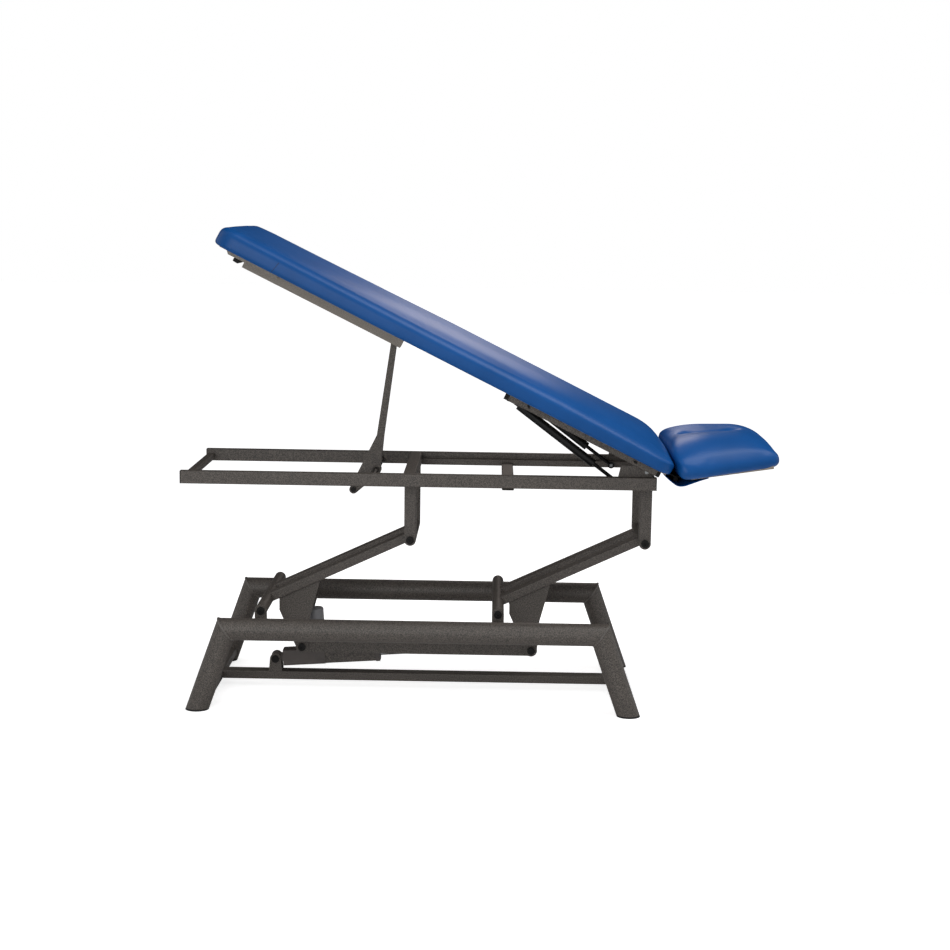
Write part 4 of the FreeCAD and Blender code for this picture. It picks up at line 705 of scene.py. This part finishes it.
thread = plain_finish("bonded_thread", "#071a38", 0.7, dust=0.2)
SEAM_X, SEAM_LOW, SEAM_HIGH, SEAM_LEAN, SEAM_STEPS = -1.307, 0.030, 0.066, 0.25, 9
SEAM_HALF, SEAM_PROUD, SEAM_DEPTH = 0.0007, 0.0004, 0.003
for side, sign in (("near", -1), ("far", 1)):
    line = []
    for step in range(SEAM_STEPS + 1):
        rise = (SEAM_HIGH - SEAM_LOW) * step / SEAM_STEPS
        start = Vector((SEAM_X + SEAM_LEAN * rise, sign, SEAM_LOW + rise))
        line.append(seam_finder.ray_cast(start, Vector((0.0, -sign, 0.0)))[0])
    seam = bmesh.new()
    strips = [[seam.verts.new(spot + Vector((shift, sign * out, 0.0))) for spot in line]
              for shift, out in ((-SEAM_HALF, SEAM_PROUD), (SEAM_HALF, SEAM_PROUD),
                                 (SEAM_HALF, -SEAM_DEPTH), (-SEAM_HALF, -SEAM_DEPTH))]
    for index in range(4):
        first, second = strips[index], strips[(index + 1) % 4]
        for step in range(SEAM_STEPS):
            seam.faces.new((first[step], first[step + 1], second[step + 1], second[step]))
    for step in (0, SEAM_STEPS):
        seam.faces.new([strip[step] for strip in strips])
    bmesh.ops.recalc_face_normals(seam, faces=seam.faces)
    seam_mesh = bpy.data.meshes.new(f"side_seam_{side}")
    seam.to_mesh(seam_mesh)
    seam.free()
    seam_mesh.transform(on_section)
    mesh_piece(f"side_seam_{side}", seam_mesh, thread, "long_section")


# Headrest pad: tapered foam, domed from a low rim and pushed up against the long pad, with
# the same cover. A breathing slot is pressed into its middle and sinks deepest at its ends.
HEAD_SLOPE = math.radians(6.2)
on_headrest = (Matrix.Translation(joint_places["headrest_tilt"])
               @ Matrix.Rotation(-HEAD_SLOPE, 4, (0, 1, 0)))
HEAD_CORNERS = [(0.002, -0.326), (0.060, -0.324), (0.331, -0.230),
                (0.331, 0.230), (0.060, 0.324), (0.002, 0.326)]
HEAD_RADII = [0.022, 0.120, 0.038, 0.038, 0.120, 0.022]
HEAD_REACH = [0, 0.20, 0.13, 0.20, 0, 0]
HEAD_BASE, HEAD_TOP = 0.0080, 0.0600
HEAD_SPACING, HEAD_VOXEL = 0.009, 0.0065
HINGE_PUSH, HINGE_SINK, HINGE_REACH = 0.034, 0.022, 0.10
UPPER_FROM, UPPER_FULL = 0.055, 0.105


def head_swell(x):
    """Rise of the headrest's middle and sink of its edge at one place along it."""
    return 0.062 - 0.05 * max(x - 0.12, 0.0), 0.004


head_ring = rounded_ring(HEAD_CORNERS, HEAD_RADII, HEAD_SPACING)
head_block = cushion_mesh("headrest_cover", head_ring, HEAD_BASE, HEAD_TOP,
                          lower_in=0.040, lower_up=0.014, edge=0.030, edge_drop=0.024)
head_form = even_skin(head_block, HEAD_VOXEL)
crown(head_form.data, HEAD_CORNERS, HEAD_REACH, HEAD_BASE, HEAD_TOP, fall_off=2.5,
      swell=head_swell)
for vertex in head_form.data.vertices:
    at_hinge = 1.0 - ramp_up(vertex.co.x, 0.0, HINGE_REACH)
    upper = ramp_up(vertex.co.z, UPPER_FROM, UPPER_FULL)
    vertex.co.x -= HINGE_PUSH * upper * at_hinge
    vertex.co.z -= HINGE_SINK * upper * at_hinge ** 2
head_mesh = stuff(head_form, pinned_below=0.012)
SLOT_FROM, SLOT_TO, SLOT_ABOVE = 0.062, 0.212, 0.05
SLOT_DEEP, END_DEEPER, END_LONG = 0.005, 0.007, 0.02
SLOT_WIDE, END_WIDER, END_FLARE = 0.016, 0.012, 0.03
HOLLOW_DEEP, HOLLOW_WIDE, HOLLOW_LONG, HOLLOW_MIDDLE = 0.009, 0.075, 0.085, 0.14
for vertex in head_mesh.vertices:
    if vertex.co.z < SLOT_ABOVE:
        continue
    along = min(max(vertex.co.x, SLOT_FROM), SLOT_TO)
    off = math.hypot(vertex.co.x - along, vertex.co.y)
    to_end = min(along - SLOT_FROM, SLOT_TO - along)
    depth = SLOT_DEEP + END_DEEPER * math.exp(-(to_end / END_LONG) ** 2)
    wide = SLOT_WIDE + END_WIDER * math.exp(-(to_end / END_FLARE) ** 2)
    hollow = (HOLLOW_DEEP * math.exp(-(vertex.co.y / HOLLOW_WIDE) ** 2)
              * math.exp(-((vertex.co.x - HOLLOW_MIDDLE) / HOLLOW_LONG) ** 4))
    vertex.co.z -= depth * math.exp(-(off / wide) ** 2) + hollow
head_mesh.transform(on_headrest)
head_cover = mesh_piece("headrest_cover", head_mesh, blue_vinyl, "headrest")
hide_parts("headrest_pad")


# Joint flap: a strip of the same vinyl, 1.4 mm thick, stapled under both boards. It closes the
# gap at the headrest hinge from below and hangs there in a shallow fold.
HALF_FLAP, FLAP_THICK, FLAP_WAVE = 0.285, 0.0014, 0.0015
FLAP_ROWS, FLAP_COLUMNS = 32, 24
SECTION_STAPLES = on_section @ Vector((0.060, 0.0, 0.016))
HEADREST_STAPLES = on_headrest @ Vector((0.070, 0.0, 0.0010))
flap_line = [on_section @ Vector((0.040, 0.0, 0.0235)), SECTION_STAPLES,
             Vector((0.600, 0.0, 0.7360)), Vector((0.614, 0.0, 0.7300)),
             Vector((0.632, 0.0, 0.7315)), Vector((0.650, 0.0, 0.7380)),
             HEADREST_STAPLES, on_headrest @ Vector((0.095, 0.0, 0.0062))]
form = bmesh.new()
rows = []
bend = flap_line[0]
for share in range(FLAP_ROWS + 1):
    spot = share / FLAP_ROWS * (len(flap_line) - 1)
    index = min(int(spot), len(flap_line) - 2)
    part = spot - index
    p0 = flap_line[max(index - 1, 0)]
    p1, p2 = flap_line[index], flap_line[index + 1]
    p3 = flap_line[min(index + 2, len(flap_line) - 1)]
    bend = 0.5 * (2 * p1 + (p2 - p0) * part + (2 * p0 - 5 * p1 + 4 * p2 - p3) * part ** 2
                  + (3 * p1 - p0 - 3 * p2 + p3) * part ** 3)
    row = []
    for step in range(FLAP_COLUMNS + 1):
        y = (step / FLAP_COLUMNS * 2 - 1) * HALF_FLAP
        sag = FLAP_WAVE * noise.noise(Vector((bend.x * 9, y * 11, 0.3)))
        row.append(form.verts.new((bend.x, y, bend.z + sag)))
    rows.append(row)
for first, second in zip(rows, rows[1:]):
    for step in range(FLAP_COLUMNS):
        form.faces.new((first[step], first[step + 1], second[step + 1], second[step]))
bmesh.ops.recalc_face_normals(form, faces=form.faces)
bmesh.ops.solidify(form, geom=form.faces[:] + form.edges[:] + form.verts[:],
                   thickness=FLAP_THICK)
flap_mesh = bpy.data.meshes.new("joint_flap")
form.to_mesh(flap_mesh)
form.free()
for face in flap_mesh.polygons:
    face.use_smooth = True
flap = mesh_piece("joint_flap", flap_mesh, blue_vinyl, None)
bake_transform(flap)
